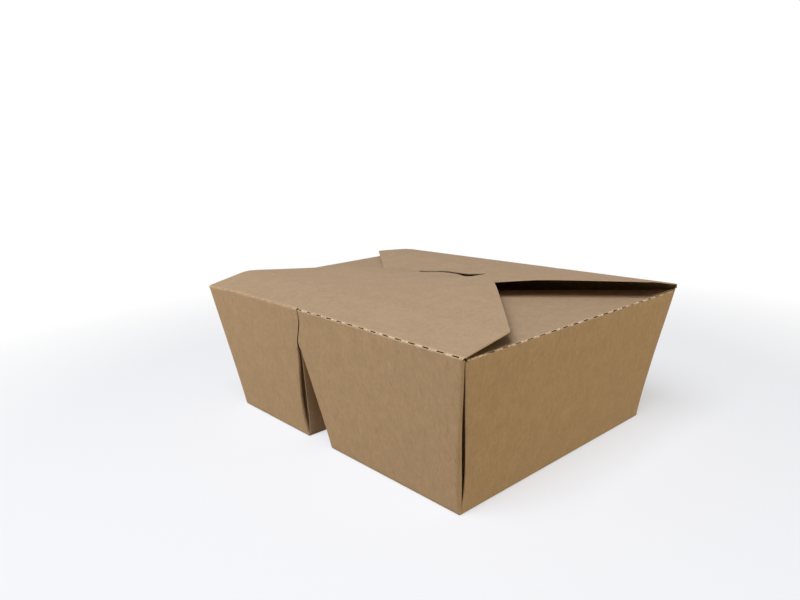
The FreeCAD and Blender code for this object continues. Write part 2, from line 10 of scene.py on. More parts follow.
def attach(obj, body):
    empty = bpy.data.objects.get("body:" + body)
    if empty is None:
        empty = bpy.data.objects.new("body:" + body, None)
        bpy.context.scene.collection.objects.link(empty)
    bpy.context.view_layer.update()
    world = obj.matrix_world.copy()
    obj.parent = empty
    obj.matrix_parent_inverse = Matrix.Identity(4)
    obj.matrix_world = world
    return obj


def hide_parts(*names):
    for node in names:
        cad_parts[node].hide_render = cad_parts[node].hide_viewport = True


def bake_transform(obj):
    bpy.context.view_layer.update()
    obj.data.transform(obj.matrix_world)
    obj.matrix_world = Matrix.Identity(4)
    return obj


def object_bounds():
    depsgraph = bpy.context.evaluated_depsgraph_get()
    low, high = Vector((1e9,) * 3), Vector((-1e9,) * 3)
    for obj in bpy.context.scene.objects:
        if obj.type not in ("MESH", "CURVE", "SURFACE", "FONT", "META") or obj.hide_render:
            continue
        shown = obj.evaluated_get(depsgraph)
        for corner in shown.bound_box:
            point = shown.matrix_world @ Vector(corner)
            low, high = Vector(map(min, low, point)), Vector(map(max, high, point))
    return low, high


bl_info = {
    "name": "Divided Takeaway Box",
    "version": (1, 0, 0),
    "blender": (4, 5, 0),
    "location": "3D View > Sidebar > Takeaway Box",
    "description": "Folds a divided takeaway box of kraft board around its packed frame",
    "category": "Add Mesh",
}

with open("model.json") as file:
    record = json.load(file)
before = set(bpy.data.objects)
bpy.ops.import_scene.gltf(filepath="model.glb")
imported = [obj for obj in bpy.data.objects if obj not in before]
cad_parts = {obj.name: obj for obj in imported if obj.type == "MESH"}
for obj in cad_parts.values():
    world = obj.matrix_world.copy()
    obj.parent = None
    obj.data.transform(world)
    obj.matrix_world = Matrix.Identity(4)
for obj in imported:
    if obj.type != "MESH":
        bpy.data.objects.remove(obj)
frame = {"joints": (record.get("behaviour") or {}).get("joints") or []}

# What the frame gives: the box's outer sizes and the line that the front flap turns on.
CAD_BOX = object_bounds()
HINGE = Vector(frame["joints"][0]["pos_m"])
RIM_LENGTH = CAD_BOX[1].x - CAD_BOX[0].x
RIM_WIDTH = CAD_BOX[1].y - CAD_BOX[0].y
BOARD = 2 * (RIM_WIDTH / 2 + HINGE.y)
TRAY_HEIGHT = HINGE.z + BOARD / 2

# Sides of the box along X and Y.
LEFT = -1
RIGHT = 1
FRONT = -1
BACK = 1

MM = 0.001

# Steps in a fold and in a rounded corner.
FOLD_STEPS = 8
CORNER_STEPS = 6

# Longest cells of the board on the walls, along the rim, on the flaps and across the tongue.
WALL_CELL = 3.2 * MM
RIM_CELL = 3.6 * MM
FLAP_CELL = 2.5 * MM
TONGUE_CELL = 2.2 * MM

# Points closer than this are one point of the board.
SAME_POINT = 0.03 * MM

# The flaps' creases start this far below the rim. The front one ends this far behind it.
CREASE_DROP = 0.9 * MM
CREASE_REACH = 1.2 * MM

# Up to this X, the cuts of the front crease have been pressed shut again and show fewer fibres.
CRUSHED_TO = -8 * MM
CRUSHED_WEAR = 0.3

# Crease left uncut at the left and right of the long flaps, and at the front and back of the ends.
SIDE_UNCUT = (3 * MM, 2.2 * MM)
END_UNCUT = (8 * MM, 9 * MM)

# Millimetres that the middle of the back flap stands above the rim at the slit, at places along X.
SLIT_RISE = ((-90, 1.8), (-25, 1.8), (-2, 4.05), (10, 4.3), (25, 6.4), (90, 8.8))

# Gaps from the tongue to the slit's front and back lips, and from the front flap to the back one.
SLIT_FRONT = 0.6 * MM
SLIT_BACK = 0.3 * MM
LAP_GAP = 0.2 * MM

# Radii of the flaps' shallow bends, of the twist beside the back crease and of the tongue's bend.
BOW_ROUND = 60 * MM
TWIST_ROUND = 20 * MM
TONGUE_BEND = 1 * MM

# How far each web's mouth gapes, as a share, and how far the long wall's fold stands back there.
LEFT_MOUTHS = {
    ("end", FRONT): (0.7, 0.6 * MM),
    ("end", BACK): (0.8, 0.7 * MM),
    ("fold", FRONT): (0.3, 2.1 * MM),
    ("fold", BACK): (0.4, 1.2 * MM),
}
RIGHT_MOUTHS = {
    ("end", FRONT): (1.0, 1.0 * MM),
    ("end", BACK): (0.75, 0.7 * MM),
    ("fold", FRONT): (0.6, 0.5 * MM),
    ("fold", BACK): (0.7, 0.9 * MM),
}

# The soft lights: name, place, width and height, power and tint. All look at the lit point.
LIGHTS = (
    ("top", (0.2, -0.65, 1.08), (0.8, 0.8), 14.5, (0.95, 1.01, 1.24)),
    ("front", (-0.85, -1.05, 0.1), (0.9, 0.16), 7.4, (1.0, 0.94, 0.78)),
    ("side", (1.35, 0.3, 0.1), (1.0, 0.16), 8.9, (1.0, 0.91, 0.7)),
)
LIT_POINT = (0, 0, 0.03)

# Strength and colour of the even light from all sides.
EVEN_LIGHT = 0.1
EVEN_TINT = (1.0, 0.84, 0.66, 1.0)
WHITE = (1.0, 1.0, 1.0, 1.0)

# Half the floor's length, the distance at which it has turned white, and its least share of white.
FLOOR_REACH = 3.0
WHITE_FROM = 0.36
LEAST_WHITE = 0.55

# The camera, solved from the photo's straight edges: lens in millimetres, place and directions.
LENS = 29.622
CAMERA_PLACE = (0.227316, -0.218542, 0.132933)
CAMERA_RIGHT = Vector((0.66569719, 0.74534254, -0.03621804))
CAMERA_UP = Vector((-0.14916403, 0.18046658, 0.97220466))


def length(name, description, default):
    """A size in metres that a user may change."""
    return FloatProperty(
        name=name, description=description, default=default, unit="LENGTH", precision=5
    )


def colour(name, description, default):
    """A colour that a user may change."""
    return FloatVectorProperty(
        name=name, description=description, default=default, subtype="COLOR", size=3, min=0, max=1
    )


class BoxSizes(bpy.types.PropertyGroup):
    """Sizes of the folded board."""

    board: length("Board", "Thickness of the kraft board", BOARD)
    rim_length: length("Rim Length", "Outside length at the rim", RIM_LENGTH)
    rim_width: length("Rim Width", "Outside width at the rim", RIM_WIDTH)
    tray_height: length("Tray Height", "From the bottom to the rim", TRAY_HEIGHT)
    base_length: length("Base Length", "Outside length at the bottom", 0.1566)
    base_width: length("Base Width", "Outside width at the bottom", 0.1256)
    divider_offset: length("Divider Offset", "Divider from the middle of the box", -0.0105)
    tunnel_width: length("Tunnel Width", "Opening under the divider at the bottom", 0.0196)
    tunnel_height: length("Tunnel Height", "Height of the inside of the divider's fold", 0.049)
    seam_width: length("Seam", "Gap between the two panels of a long wall", 0.0003)
    fold_radius: length("Fold", "Radius of a fold, in the middle of the board", 0.0005)
    web_drop: length("Web Drop", "Top of the corner webs below the rim", 0.003)
    nick_pitch: length("Nick Pitch", "From one cut of a perforated crease to the next", 0.007)
    nick_length: length("Nick Length", "Length of a cut in a perforated crease", 0.0031)
    flap_side: length("Flap Side", "Straight side of the front flap beside its crease", 0.0235)
    flap_side_rise: length("Flap Side Rise", "Front flap above the rim there", 0.0049)
    shoulder_width: length("Shoulders", "Front flap's width where its slants end", 0.0544)
    bow_reach: length("Bow Reach", "From the front crease to the top of the bow", 0.06)
    bow_left: length("Left Bow", "Front flap's bow above the rim at the left end", 0.0048)
    bow_right: length("Right Bow", "Front flap's bow above the rim at the right end", 0.0092)
    slit_reach: length("Slit Reach", "From the front crease to the locking slit", 0.0882)
    slit_length: length("Slit Length", "Length of the locking slit", 0.05)
    tongue_width: length("Tongue Width", "Width of the locking tongue", 0.0484)
    tongue_drop: length("Tongue Drop", "Tongue's tip below its bend", 0.009)
    back_side: length("Back Side", "Back flap from its crease to its twist's end", 0.026)
    back_rise_left: length("Back Left", "Back flap above the rim there, at the left", 0.003)
    back_rise_right: length("Back Right", "Back flap above the rim there, at the right", 0.0068)
    back_tip_width: length("Back Tip", "Width of the back flap's tip", 0.064)
    end_flap_length: length("End Flap", "End flap from its crease to its tip", 0.062)
    end_flap_taper: length("End Taper", "How much each side of an end flap narrows", 0.051)
    end_flap_droop: length("End Droop", "End flap's tip below its crease", 0.0015)


class BoardFinish(bpy.types.PropertyGroup):
    """Colours of the kraft board and the floor."""

    face: colour("Face", "Colour of the board's face", (0.44, 0.296, 0.158))
    fleck: colour("Fleck", "Colour of the darker fibres", (0.25, 0.15, 0.07))
    torn: colour("Torn Fibres", "Colour of raised fibres at cuts and creases", (0.68, 0.55, 0.38))
    edge: colour("Cut Edge", "Colour of the board's cut edge", (0.48, 0.35, 0.2))
    floor: colour("Floor", "Colour of the floor", (0.88, 0.88, 0.83))
    bounce: colour("Floor Glow", "Colour of the light from the floor", (0.15, 0.1, 0.05))


def mix(low, high, share):
    """The value at a share of the way from low to high."""
    return low + (high - low) * share


def eased(share):
    """A share from 0 to 1 that starts and ends level."""
    share = min(1.0, max(0.0, share))
    return share * share * (3 - 2 * share)


def hump(place, middle, reach):
    """1 at the middle, falling smoothly to 0 at the reach."""
    return eased(1 - abs(place - middle) / reach)


def through(stations, place):
    """A curve through a few stations that stays between neighbouring values."""
    places = [station[0] for station in stations]
    values = [station[1] for station in stations]
    if place <= places[0]:
        return values[0]
    if place >= places[-1]:
        return values[-1]
    slopes = [
        (values[i + 1] - values[i]) / (places[i + 1] - places[i]) for i in range(len(values) - 1)
    ]
    tangents = [slopes[0]]
    for before, after in zip(slopes, slopes[1:]):
        level = before * after <= 0
        tangents.append(0.0 if level else 2 * before * after / (before + after))
    tangents.append(slopes[-1])
    i = max(k for k in range(len(slopes)) if places[k] <= place)
    span = places[i + 1] - places[i]
    t = (place - places[i]) / span
    return (
        values[i] * (1 + 2 * t) * (1 - t) ** 2
        + tangents[i] * span * t * (1 - t) ** 2
        + values[i + 1] * t * t * (3 - 2 * t)
        + tangents[i + 1] * span * t * t * (t - 1)
    )


def arc_path(corners, radii, steps):
    """Points of a path in a plane, with an arc of the given radius at each inner corner."""
    points = [Vector(corners[0])]
    for before, corner, after, radius in zip(corners, corners[1:], corners[2:], radii):
        behind = (Vector(corner) - Vector(before)).normalized()
        ahead = (Vector(after) - Vector(corner)).normalized()
        turn = behind.angle(ahead)
        left = Vector((-behind.y, behind.x))
        side = left if left.dot(ahead) > 0 else -left
        start = Vector(corner) - behind * (radius * math.tan(turn / 2))
        for step in range(steps + 1):
            angle = turn * step / steps
            over = side * (radius * (1 - math.cos(angle)))
            points.append(start + over + behind * (radius * math.sin(angle)))
    points.append(Vector(corners[-1]))
    return points


def height_at(path, across):
    """Second coordinate of a path whose first coordinate only falls or only rises."""
    pairs = sorted((point.x, point.y) for point in path)
    for (low, start), (high, end) in zip(pairs, pairs[1:]):
        if low <= across <= high and high > low:
            return mix(start, end, (across - low) / (high - low))
    return pairs[0][1] if across < pairs[0][0] else pairs[-1][1]


def filled(places, spacing):
    """The same places with more between them where they lie further apart than the spacing."""
    dense = [places[0]]
    for before, after in zip(places, places[1:]):
        parts = max(1, math.ceil(abs(after - before) / spacing - 1e-6))
        dense += [mix(before, after, part / parts) for part in range(1, parts + 1)]
    return dense


class Sheet:
    """The middle surface of a folded piece of board, gathered grid by grid."""

    def __init__(self):
        self.points = []
        self.worn = []
        self.faces = []

    def add_point(self, point, worn):
        """Adds a point with its wear and returns its number."""
        self.points.append(point)
        self.worn.append(worn)
        return len(self.points) - 1

    def grid(self, rows, worn=None, left_out=None):
        """Joins rows of points. worn gives a point's wear, and left_out picks cells to cut out."""
        numbers = []
        for i, row in enumerate(rows):
            wear = [worn(i, point) if worn else 0.0 for point in row]
            numbers.append([self.add_point(point, wear[j]) for j, point in enumerate(row)])
        for i in range(len(rows) - 1):
            for j in range(len(rows[i]) - 1):
                if left_out and left_out(i, j):
                    continue
                low, high = numbers[i], numbers[i + 1]
                self.faces.append((low[j], low[j + 1], high[j + 1], high[j]))

    def panel(self, outline):
        """One flat panel inside a closed line of points."""
        self.faces.append([self.add_point(point, 0.0) for point in outline])

    def build(self, name, sizes):
        """Gives the sheet its thickness and returns it as a new object."""
        surface = bmesh.new()
        worn_layer = surface.verts.layers.float.new("worn")
        verts = [surface.verts.new(point) for point in self.points]
        for vert, wear in zip(verts, self.worn):
            vert[worn_layer] = wear
        for face in self.faces:
            surface.faces.new([verts[number] for number in face])
        bmesh.ops.remove_doubles(surface, verts=surface.verts, dist=SAME_POINT)
        bmesh.ops.dissolve_degenerate(surface, edges=surface.edges, dist=SAME_POINT / 3)
        loose = [vert for vert in surface.verts if not vert.link_faces]
        bmesh.ops.delete(surface, geom=loose, context="VERTS")
        bmesh.ops.recalc_face_normals(surface, faces=surface.faces)
        mesh = bpy.data.meshes.new(name)
        surface.to_mesh(mesh)
        surface.free()
        item = bpy.data.objects.new(name, mesh)
        bpy.context.scene.collection.objects.link(item)
        item.data.materials.append(board_material("kraft_face", False))
        item.data.materials.append(board_material("kraft_edge", True))
        thick = item.modifiers.new("thickness", "SOLIDIFY")
        thick.thickness = sizes.board
        thick.offset = 0.0
        thick.use_even_offset = True
        thick.thickness_clamp = 1.0
        thick.material_offset_rim = 1
        bpy.context.view_layer.update()
        evaluated = item.evaluated_get(bpy.context.evaluated_depsgraph_get())
        item.data = bpy.data.meshes.new_from_object(evaluated)
        item.modifiers.clear()
        item.data.name = name
        item.data.polygons.foreach_set("use_smooth", [True] * len(item.data.polygons))
        item.data.set_sharp_from_angle(angle=math.radians(42))
        return item


class Walls:
    """Where the leaning walls of the tray stand at each height."""

    # Millimetres that the rim of a wall stands above or below the others, at places along it.
    RIM_RISE = {
        "front": ((-90, 0.2), (-82, 0.5), (-66, 1.4), (-8, 1.6), (90, 1.0)),
        "right end": ((-72, 0.1), (72, -1.5)),
    }

    # Millimetres that each side of the divider and the seam over it stand off along X, at heights.
    SEAM_DRIFT = ((49, -0.95), (50, -0.95), (52, 0.5), (61, 4.0), (66, 3.2))
    DRIFT = {
        LEFT: ((0, 1.8), (3, 1.4), (10, 0.6), (20, 0.0), (38, -0.2)) + SEAM_DRIFT,
        RIGHT: ((0, -0.4), (12, -0.6), (24, -0.75), (36, -0.85)) + SEAM_DRIFT,
    }

    # How far each wall bulges out at its middle.
    BULGE = {FRONT: 0.25 * MM, BACK: 0.3 * MM, "end": 0.35 * MM, "fold": -0.2 * MM}

    # Heights of the last ring of rounded corners, and of the foot of the webs' mouths.
    LAST_RING = 1.0 * MM
    FOOT = 1.5 * MM

    def __init__(self, sizes):
        self.sizes = sizes
        self.board = sizes.board
        self.end_lean = (sizes.rim_length - sizes.base_length) / 2 / sizes.tray_height
        self.side_lean = (sizes.rim_width - sizes.base_width) / 2 / sizes.tray_height
        slant = sizes.tunnel_width / 2 - sizes.seam_width / 2
        self.fold_lean = slant / sizes.tunnel_height
        self.rim_start = sizes.tray_height - CREASE_DROP
        half_angle = math.radians(45) - (math.atan(self.end_lean) + math.atan(self.side_lean)) / 2
        self.web_spread = math.tan(half_angle)

    def rim_rise(self, wall, place, z):
        """A wall's own rise at a height, eased in towards its rim."""
        stations = self.RIM_RISE.get(wall)
        share = (z / self.rim_start) ** 2
        return through(stations, place / MM) * MM * share if stations else 0.0

    def drift(self, side, z):
        """How far one side of the divider stands off along X at a height."""
        return through(self.DRIFT[side], z / MM) * MM

    def slack(self, wall, z, top):
        """How far a wall bulges out at a height."""
        share = (z - self.FOOT) / (top - self.FOOT)
        return self.BULGE[wall] * math.sin(math.pi * min(1.0, max(0.0, share)))

    def end_face(self, z):
        """An end wall's face from the middle of the box."""
        return self.sizes.base_length / 2 + self.end_lean * z

    def side_face(self, z):
        """A long wall's face from the middle of the box."""
        return self.sizes.base_width / 2 + self.side_lean * z

    def fold_face(self, z):
        """Half the tunnel's width under the divider, and above it half the seam's."""
        return max(self.sizes.tunnel_width / 2 - self.fold_lean * z, self.sizes.seam_width / 2)

    def depth(self, lean):
        """The board's middle behind a leaning wall's face, measured level."""
        return self.board / 2 * math.hypot(1, lean)

    def footing(self, lean, share):
        """Depth and height of the board's middle in the fold between the bottom and a wall."""
        radius = self.sizes.fold_radius
        turn = math.pi / 2 - math.atan(lean)
        reach = radius * math.tan(turn / 2)
        angle = turn * share
        z = self.board / 2 + radius * (1 - math.cos(angle))
        out = lean * self.board / 2 - self.depth(lean) - reach + radius * math.sin(angle)
        return lean * z - out, z


class Corner:
    """A corner where a long wall turns into a web that is folded flat inside an end wall.

    Its section at one height is a line of points (along the end wall, behind its face).
    """

    # Each line gives values at shares of the height. How far the mouth has opened, from shut to
    # widest. How far the web behind it has rolled open. Millimetres from the corner to the end
    # wall's edge when shut. How far the long wall's fold stands back, up to its deepest.
    GAPE = ((0.0, 0.0), (0.07, 0.45), (0.17, 0.85), (0.3, 1.0), (0.5, 0.8), (0.72, 0.3), (1.0, 0.0))
    ROLL = ((0.0, 0.0), (0.1, 0.7), (0.25, 1.0), (0.45, 0.55), (0.7, 0.08), (1.0, 0.0))
    SHUT = ((0.0, 0.5), (0.08, 1.15), (0.2, 1.65), (0.8, 1.6), (1.0, 1.35))
    RECESS = ((0, 0.1), (0.05, 0.35), (0.2, 0.85), (0.4, 1.0), (0.6, 0.85), (0.8, 0.4), (1, 0.15))

    # The mouth at its widest, and how much deeper the web lies where it has rolled open.
    MOUTH = 1.1 * MM
    ROLLED_DEPTH = 2.2 * MM

    # Radius of the long wall's fold at the foot, further up, and what it gains where rolled open.
    FOOT_BEND = 0.4 * MM
    BEND = 0.6 * MM
    ROLLED_BEND = 0.45 * MM
    BEND_FROM = 4 * MM

    # How far the web leans back behind that fold, and the radius of the bend into its flat.
    LEAN_BACK = math.radians(60)
    SMALL_BEND = 0.35 * MM

    # Depth of the web's inner layer, in thicknesses of the board and beyond that.
    LAYERS = 2.5
    LAYER_GAP = 0.3 * MM

    # Gaps between the fold and the end wall's face and between two folded layers, and the least
    # flat of a web and of its fold.
    FACE_GAP = 0.05 * MM
    HEM_GAP = 0.02 * MM
    LEAST_FLAT = 0.5 * MM
    LEAST_WIDTH = 1 * MM

    def __init__(self, walls, height, opening, recess):
        self.walls = walls
        self.height = height
        self.opening = opening
        self.deepest = recess

    def gape(self, z):
        """How far the mouth has opened, as a share of its widest."""
        return through(self.GAPE, z / self.height)

    def roll(self, z):
        """How far the web behind the mouth has rolled open, as a share."""
        return through(self.ROLL, z / self.height)

    def recess(self, z):
        """How far the long wall's fold stands back behind the end wall's face."""
        return self.deepest * through(self.RECESS, z / self.height)

    def edge(self, z):
        """Where the end wall starts, along the wall from the corner."""
        shut = through(self.SHUT, z / self.height) * MM
        return shut + self.MOUTH * self.gape(z) * self.opening

    def radius(self, z):
        """Radius of the fold that turns the long wall into its web."""
        bend = self.BEND + self.ROLLED_BEND * self.roll(z) * self.opening
        return mix(self.FOOT_BEND, bend, eased(z / self.BEND_FROM))

    def start(self, z):
        """Depth at which the long wall's fold starts."""
        return self.walls.board / 2 + self.FACE_GAP + self.recess(z) + self.radius(z)

    def hem(self):
        """Radius of the fold between the end wall and the web's layer behind it."""
        return self.walls.board / 2 + self.HEM_GAP

    def landing(self, z):
        """Where the flat of the end wall starts, past its own fold."""
        return self.edge(z) + self.hem()

    def shut_section(self, z, side_depth, wall_depth):
        """The rounded corner below the web's mouth."""
        across = self.landing(z) - side_depth
        deep = self.start(z) - wall_depth
        points = []
        for step in range(CORNER_STEPS + 1):
            angle = math.pi / 2 * step / CORNER_STEPS
            a = side_depth + across * (1 - math.cos(angle))
            points.append((a, wall_depth + deep * (1 - math.sin(angle))))
        return points

    def web_section(self, z, side_depth, wall_depth):
        """From the long wall round its fold, along both layers of the web, to the end wall."""
        radius = self.radius(z)
        hem = self.hem()
        turn = math.pi / 2 + self.LEAN_BACK
        over = self.start(z) - radius * math.tan(turn / 2)
        rolled = self.ROLLED_DEPTH * self.roll(z) * self.opening
        inner = self.LAYERS * self.walls.board + self.LAYER_GAP + rolled + self.recess(z)
        outer = wall_depth + 2 * hem
        bend = side_depth + (inner - over) * math.tan(math.pi / 2 - self.LEAN_BACK)
        turn_back = (inner - outer) / 2
        width = max(
            self.walls.web_spread * z,
            bend + turn_back + self.LEAST_FLAT,
            self.landing(z) + self.LEAST_WIDTH,
        )
        corners = [
            (side_depth, self.start(z)),
            (side_depth, over),
            (bend, inner),
            (width, inner),
            (width, outer),
            (self.edge(z), outer),
            (self.edge(z), wall_depth),
            (self.landing(z), wall_depth),
        ]
        radii = [radius, self.SMALL_BEND, turn_back, turn_back, hem, hem]
        return [(point.x, point.y) for point in arc_path(corners, radii, CORNER_STEPS)]


class Compartment:
    """Half of the tray: an end wall, a divider wall, two long walls and their webs."""

    # Depths at which a long wall's edges end above the webs: behind the end wall's face, and at
    # the seam. At the back, the seam's two edges touch.
    END_EDGE = 0.02 * MM
    SEAM_EDGE = {FRONT: 0.22 * MM, BACK: -0.12 * MM}

    # How far an end wall's or a divider wall's own edge runs on there, past the corner's edge.
    SIDE_EDGE = 0.1 * MM

    # Heights that the walls need besides evenly spaced ones, where the mouths open fast.
    FAST_HEIGHTS = {2.4 * MM, 3.4 * MM}

    def __init__(self, walls, side, openings):
        self.walls = walls
        self.side = side
        sizes = walls.sizes
        self.web_tops = {"end": walls.rim_start, "fold": sizes.tunnel_height - sizes.web_drop}
        self.corners = {
            (kind, across): Corner(walls, height, *openings[kind, across])
            for kind, height in (("end", sizes.tray_height), ("fold", sizes.tunnel_height))
            for across in (FRONT, BACK)
        }
        self.end_name = "right end" if side == RIGHT else "left end"
        self.side_marks = self.marks_along_side()
        self.end_marks = self.marks_along_end()

    def x_at(self, kind, z, depth):
        """X of a point behind the end wall's or the divider wall's face."""
        walls = self.walls
        if kind == "end":
            return self.side * (walls.end_face(z) - depth)
        middle = walls.sizes.divider_offset + walls.drift(self.side, z)
        return middle + self.side * (walls.fold_face(z) + depth)

    def y_at(self, across, z, depth):
        """Y of a point behind a long wall's face."""
        return across * (self.walls.side_face(z) - depth)

    def side_z(self, across, x, z):
        """Height on a long wall, with its rim's own rise."""
        return z + self.walls.rim_rise("front" if across == FRONT else "back", x, z)

    def wall_z(self, kind, y, z):
        """Height on the end wall or the divider wall, with its rim's own rise."""
        return z + self.walls.rim_rise(self.end_name if kind == "end" else "fold", y, z)

    def side_point(self, across, x, z, depth):
        """A point behind a long wall's face."""
        height = self.side_z(across, x, z)
        return Vector((x, self.y_at(across, height, depth), height))

    def free_edge(self, kind, across):
        """Depth at which a long wall's free edge ends."""
        return self.END_EDGE if kind == "end" else self.SEAM_EDGE[across]

    def free_depths(self, kind, across, z):
        """Depths from the start of a long wall's fold to its free edge, where nothing is folded."""
        start = self.corners[kind, across].start(z)
        return [mix(start, self.free_edge(kind, across), step / 3) for step in range(4)]

    def marks_along_side(self):
        """X places of the long walls' columns at the rim, as shares of their flat width."""
        top = self.walls.rim_start
        inner = self.x_at("fold", top, self.corners["fold", FRONT].start(top))
        outer = self.x_at("end", top, self.corners["end", FRONT].start(top))
        low, high = sorted((inner, outer))
        marks = [x for x in crease_marks(self.walls.sizes) if low < x < high]
        places = filled([low, *marks, high], RIM_CELL)
        return sorted((x - inner) / (outer - inner) for x in places)

    def marks_along_end(self):
        """Y places of the end wall's columns at the rim, as shares of its half width."""
        top = self.walls.rim_start
        half = self.walls.side_face(top) - self.corners["end", FRONT].landing(top)
        root = end_flap_root(self.walls.sizes)
        nicks = [y for nick in end_nicks(self.walls.sizes) for y in nick if abs(y) < root]
        places = filled(sorted({-half, -root, *nicks, root, half}), RIM_CELL)
        return [y / half for y in places]

    def side_row(self, across, z, depth, slack=0.0):
        """The flat of a long wall at one height."""
        fold = self.corners["fold", across].start(z)
        end = self.corners["end", across].start(z)
        inner, outer = self.x_at("fold", z, fold), self.x_at("end", z, end)
        row = []
        for share in self.side_marks:
            bulge = slack * math.sin(math.pi * share)
            row.append(self.side_point(across, mix(inner, outer, share), z, depth - bulge))
        return row

    def wall_row(self, kind, z, depth, slack=0.0):
        """The flat of the end wall or the divider wall at one height."""
        ends = [
            self.y_at(across, z, self.corners[kind, across].landing(z)) for across in (FRONT, BACK)
        ]
        row = []
        for share in self.end_marks:
            place = (share + 1) / 2
            bulge = slack * math.sin(math.pi * place)
            y = mix(ends[0], ends[1], place)
            height = self.wall_z(kind, y, z)
            shown = height if kind == "end" else z
            row.append(Vector((self.x_at(kind, shown, depth - bulge), y, height)))
        return row

    def section_points(self, kind, across, section, low_z, high_z):
        """A corner's section as points, with the height eased from one wall's to the other's."""
        points = []
        last = len(section) - 1
        for index, (along, depth) in enumerate(section):
            share = index / last
            z = mix(low_z, high_z, share)
            x = self.x_at(kind, z, depth)
            y = self.y_at(across, z, along)
            from_side = (1 - share) * (self.side_z(across, x, z) - z)
            from_wall = share * (self.wall_z(kind, y, z) - z)
            x = self.x_at(kind, z + from_wall, depth)
            y = self.y_at(across, z + from_side, along)
            points.append(Vector((x, y, z + from_side + from_wall)))
        return points

    def low_rows(self):
        """Depth and height for each lean, in the fold round the bottom and up to the mouths."""
        walls = self.walls
        leans = (walls.side_lean, walls.end_lean, walls.fold_lean)
        shares = [step / FOLD_STEPS for step in range(FOLD_STEPS + 1)]
        heights = [walls.LAST_RING, walls.FOOT]
        rows = [{lean: walls.footing(lean, share) for lean in leans} for share in shares]
        return rows + [{lean: (walls.depth(lean), z) for lean in leans} for z in heights]

    def add_to(self, sheet):
        """The half's bottom, its walls and its webs."""
        lows = self.low_rows()
        side = self.walls.side_lean
        leans = {"end": self.walls.end_lean, "fold": self.walls.fold_lean}
        for across in (FRONT, BACK):
            sheet.grid([self.side_row(across, low[side][1], low[side][0]) for low in lows])
        for kind, lean in leans.items():
            sheet.grid([self.wall_row(kind, low[lean][1], low[lean][0]) for low in lows])
        first_corners = {}
        for (kind, across), corner in self.corners.items():
            rows = []
            for low in lows:
                side_depth, side_z = low[side]
                wall_depth, wall_z = low[leans[kind]]
                section = corner.shut_section(side_z, side_depth, wall_depth)
                rows.append(self.section_points(kind, across, section, side_z, wall_z))
            sheet.grid(rows)
            first_corners[kind, across] = rows[0]
        self.add_bottom(sheet, lows[0], leans, first_corners)
        self.add_walls(sheet, leans)

    def add_bottom(self, sheet, low, leans, corners):
        """The flat bottom, inside the first points of the folds round it."""
        side_depth, side_z = low[self.walls.side_lean]
        outline = self.side_row(FRONT, side_z, side_depth)
        outline += corners["end", FRONT][1:]
        depth, z = low[leans["end"]]
        outline += self.wall_row("end", z, depth)[1:]
        outline += corners["end", BACK][::-1][1:]
        outline += self.side_row(BACK, side_z, side_depth)[::-1][1:]
        outline += corners["fold", BACK][1:]
        depth, z = low[leans["fold"]]
        outline += self.wall_row("fold", z, depth)[::-1][1:]
        outline += corners["fold", FRONT][::-1][1:-1]
        sheet.panel(outline)

    def add_walls(self, sheet, leans):
        """The walls from the webs' mouths up to the rim, and the webs."""
        walls = self.walls
        fold_top = walls.sizes.tunnel_height
        rim = walls.rim_start
        levels = sorted({walls.FOOT, *self.web_tops.values(), fold_top, rim})
        heights = sorted(self.FAST_HEIGHTS.union(filled(levels, WALL_CELL)))
        side_depth = walls.depth(walls.side_lean)
        for across in (FRONT, BACK):
            sheet.grid([
                self.side_row(across, z, side_depth, walls.slack(across, z, rim)) for z in heights
            ])
        for kind, top in (("end", rim), ("fold", fold_top)):
            depth = walls.depth(leans[kind])
            sheet.grid([
                self.wall_row(kind, z, depth, walls.slack(kind, z, top))
                for z in heights if z <= top + SAME_POINT
            ])
            web_heights = [z for z in heights if z <= self.web_tops[kind] + SAME_POINT]
            for across in (FRONT, BACK):
                corner = self.corners[kind, across]
                rows = []
                for z in web_heights:
                    section = corner.web_section(z, side_depth, depth)
                    rows.append(self.section_points(kind, across, section, z, z))
                sheet.grid(rows)
                above = [z for z in heights if z >= self.web_tops[kind] - SAME_POINT]
                self.add_side_edge(sheet, kind, across, above, side_depth)
                covered = [z for z in above if z <= top + SAME_POINT]
                self.add_wall_edge(sheet, kind, across, covered, depth)

    def add_side_edge(self, sheet, kind, across, heights, side_depth):
        """A long wall's flat edge above a web."""
        sheet.grid([
            [
                self.side_point(across, self.x_at(kind, z, deep), z, side_depth)
                for deep in self.free_depths(kind, across, z)
            ]
            for z in heights
        ])

    def add_wall_edge(self, sheet, kind, across, heights, depth):
        """The end wall's or the divider wall's flat edge above a web."""
        corner = self.corners[kind, across]
        rows = []
        for z in heights:
            row = []
            for step in range(3):
                place = mix(corner.landing(z), corner.edge(z) - self.SIDE_EDGE, step / 2)
                y = self.y_at(across, z, place)
                height = self.wall_z(kind, y, z)
                shown = height if kind == "end" else z
                row.append(Vector((self.x_at(kind, shown, depth), y, height)))
            rows.append(row)
        sheet.grid(rows)


def nick_places(half, uncut, sizes):
    """Start and end of each cut along a perforated crease, spaced from its high end."""
    nicks = []
    start = half - uncut[1]
    while start - sizes.nick_length > -half + uncut[0]:
        nicks.append((start - sizes.nick_length, start))
        start -= sizes.nick_pitch
    return nicks[::-1]


def side_nicks(sizes):
    """Cuts along X in the creases of the long flaps."""
    return nick_places(sizes.rim_length / 2, SIDE_UNCUT, sizes)


def end_nicks(sizes):
    """Cuts along Y in the creases of the end flaps."""
    return nick_places(sizes.rim_width / 2, END_UNCUT, sizes)


def end_flap_root(sizes):
    """Half the end flap's width at its crease."""
    inset = 2.2 * MM
    return sizes.rim_width / 2 - inset


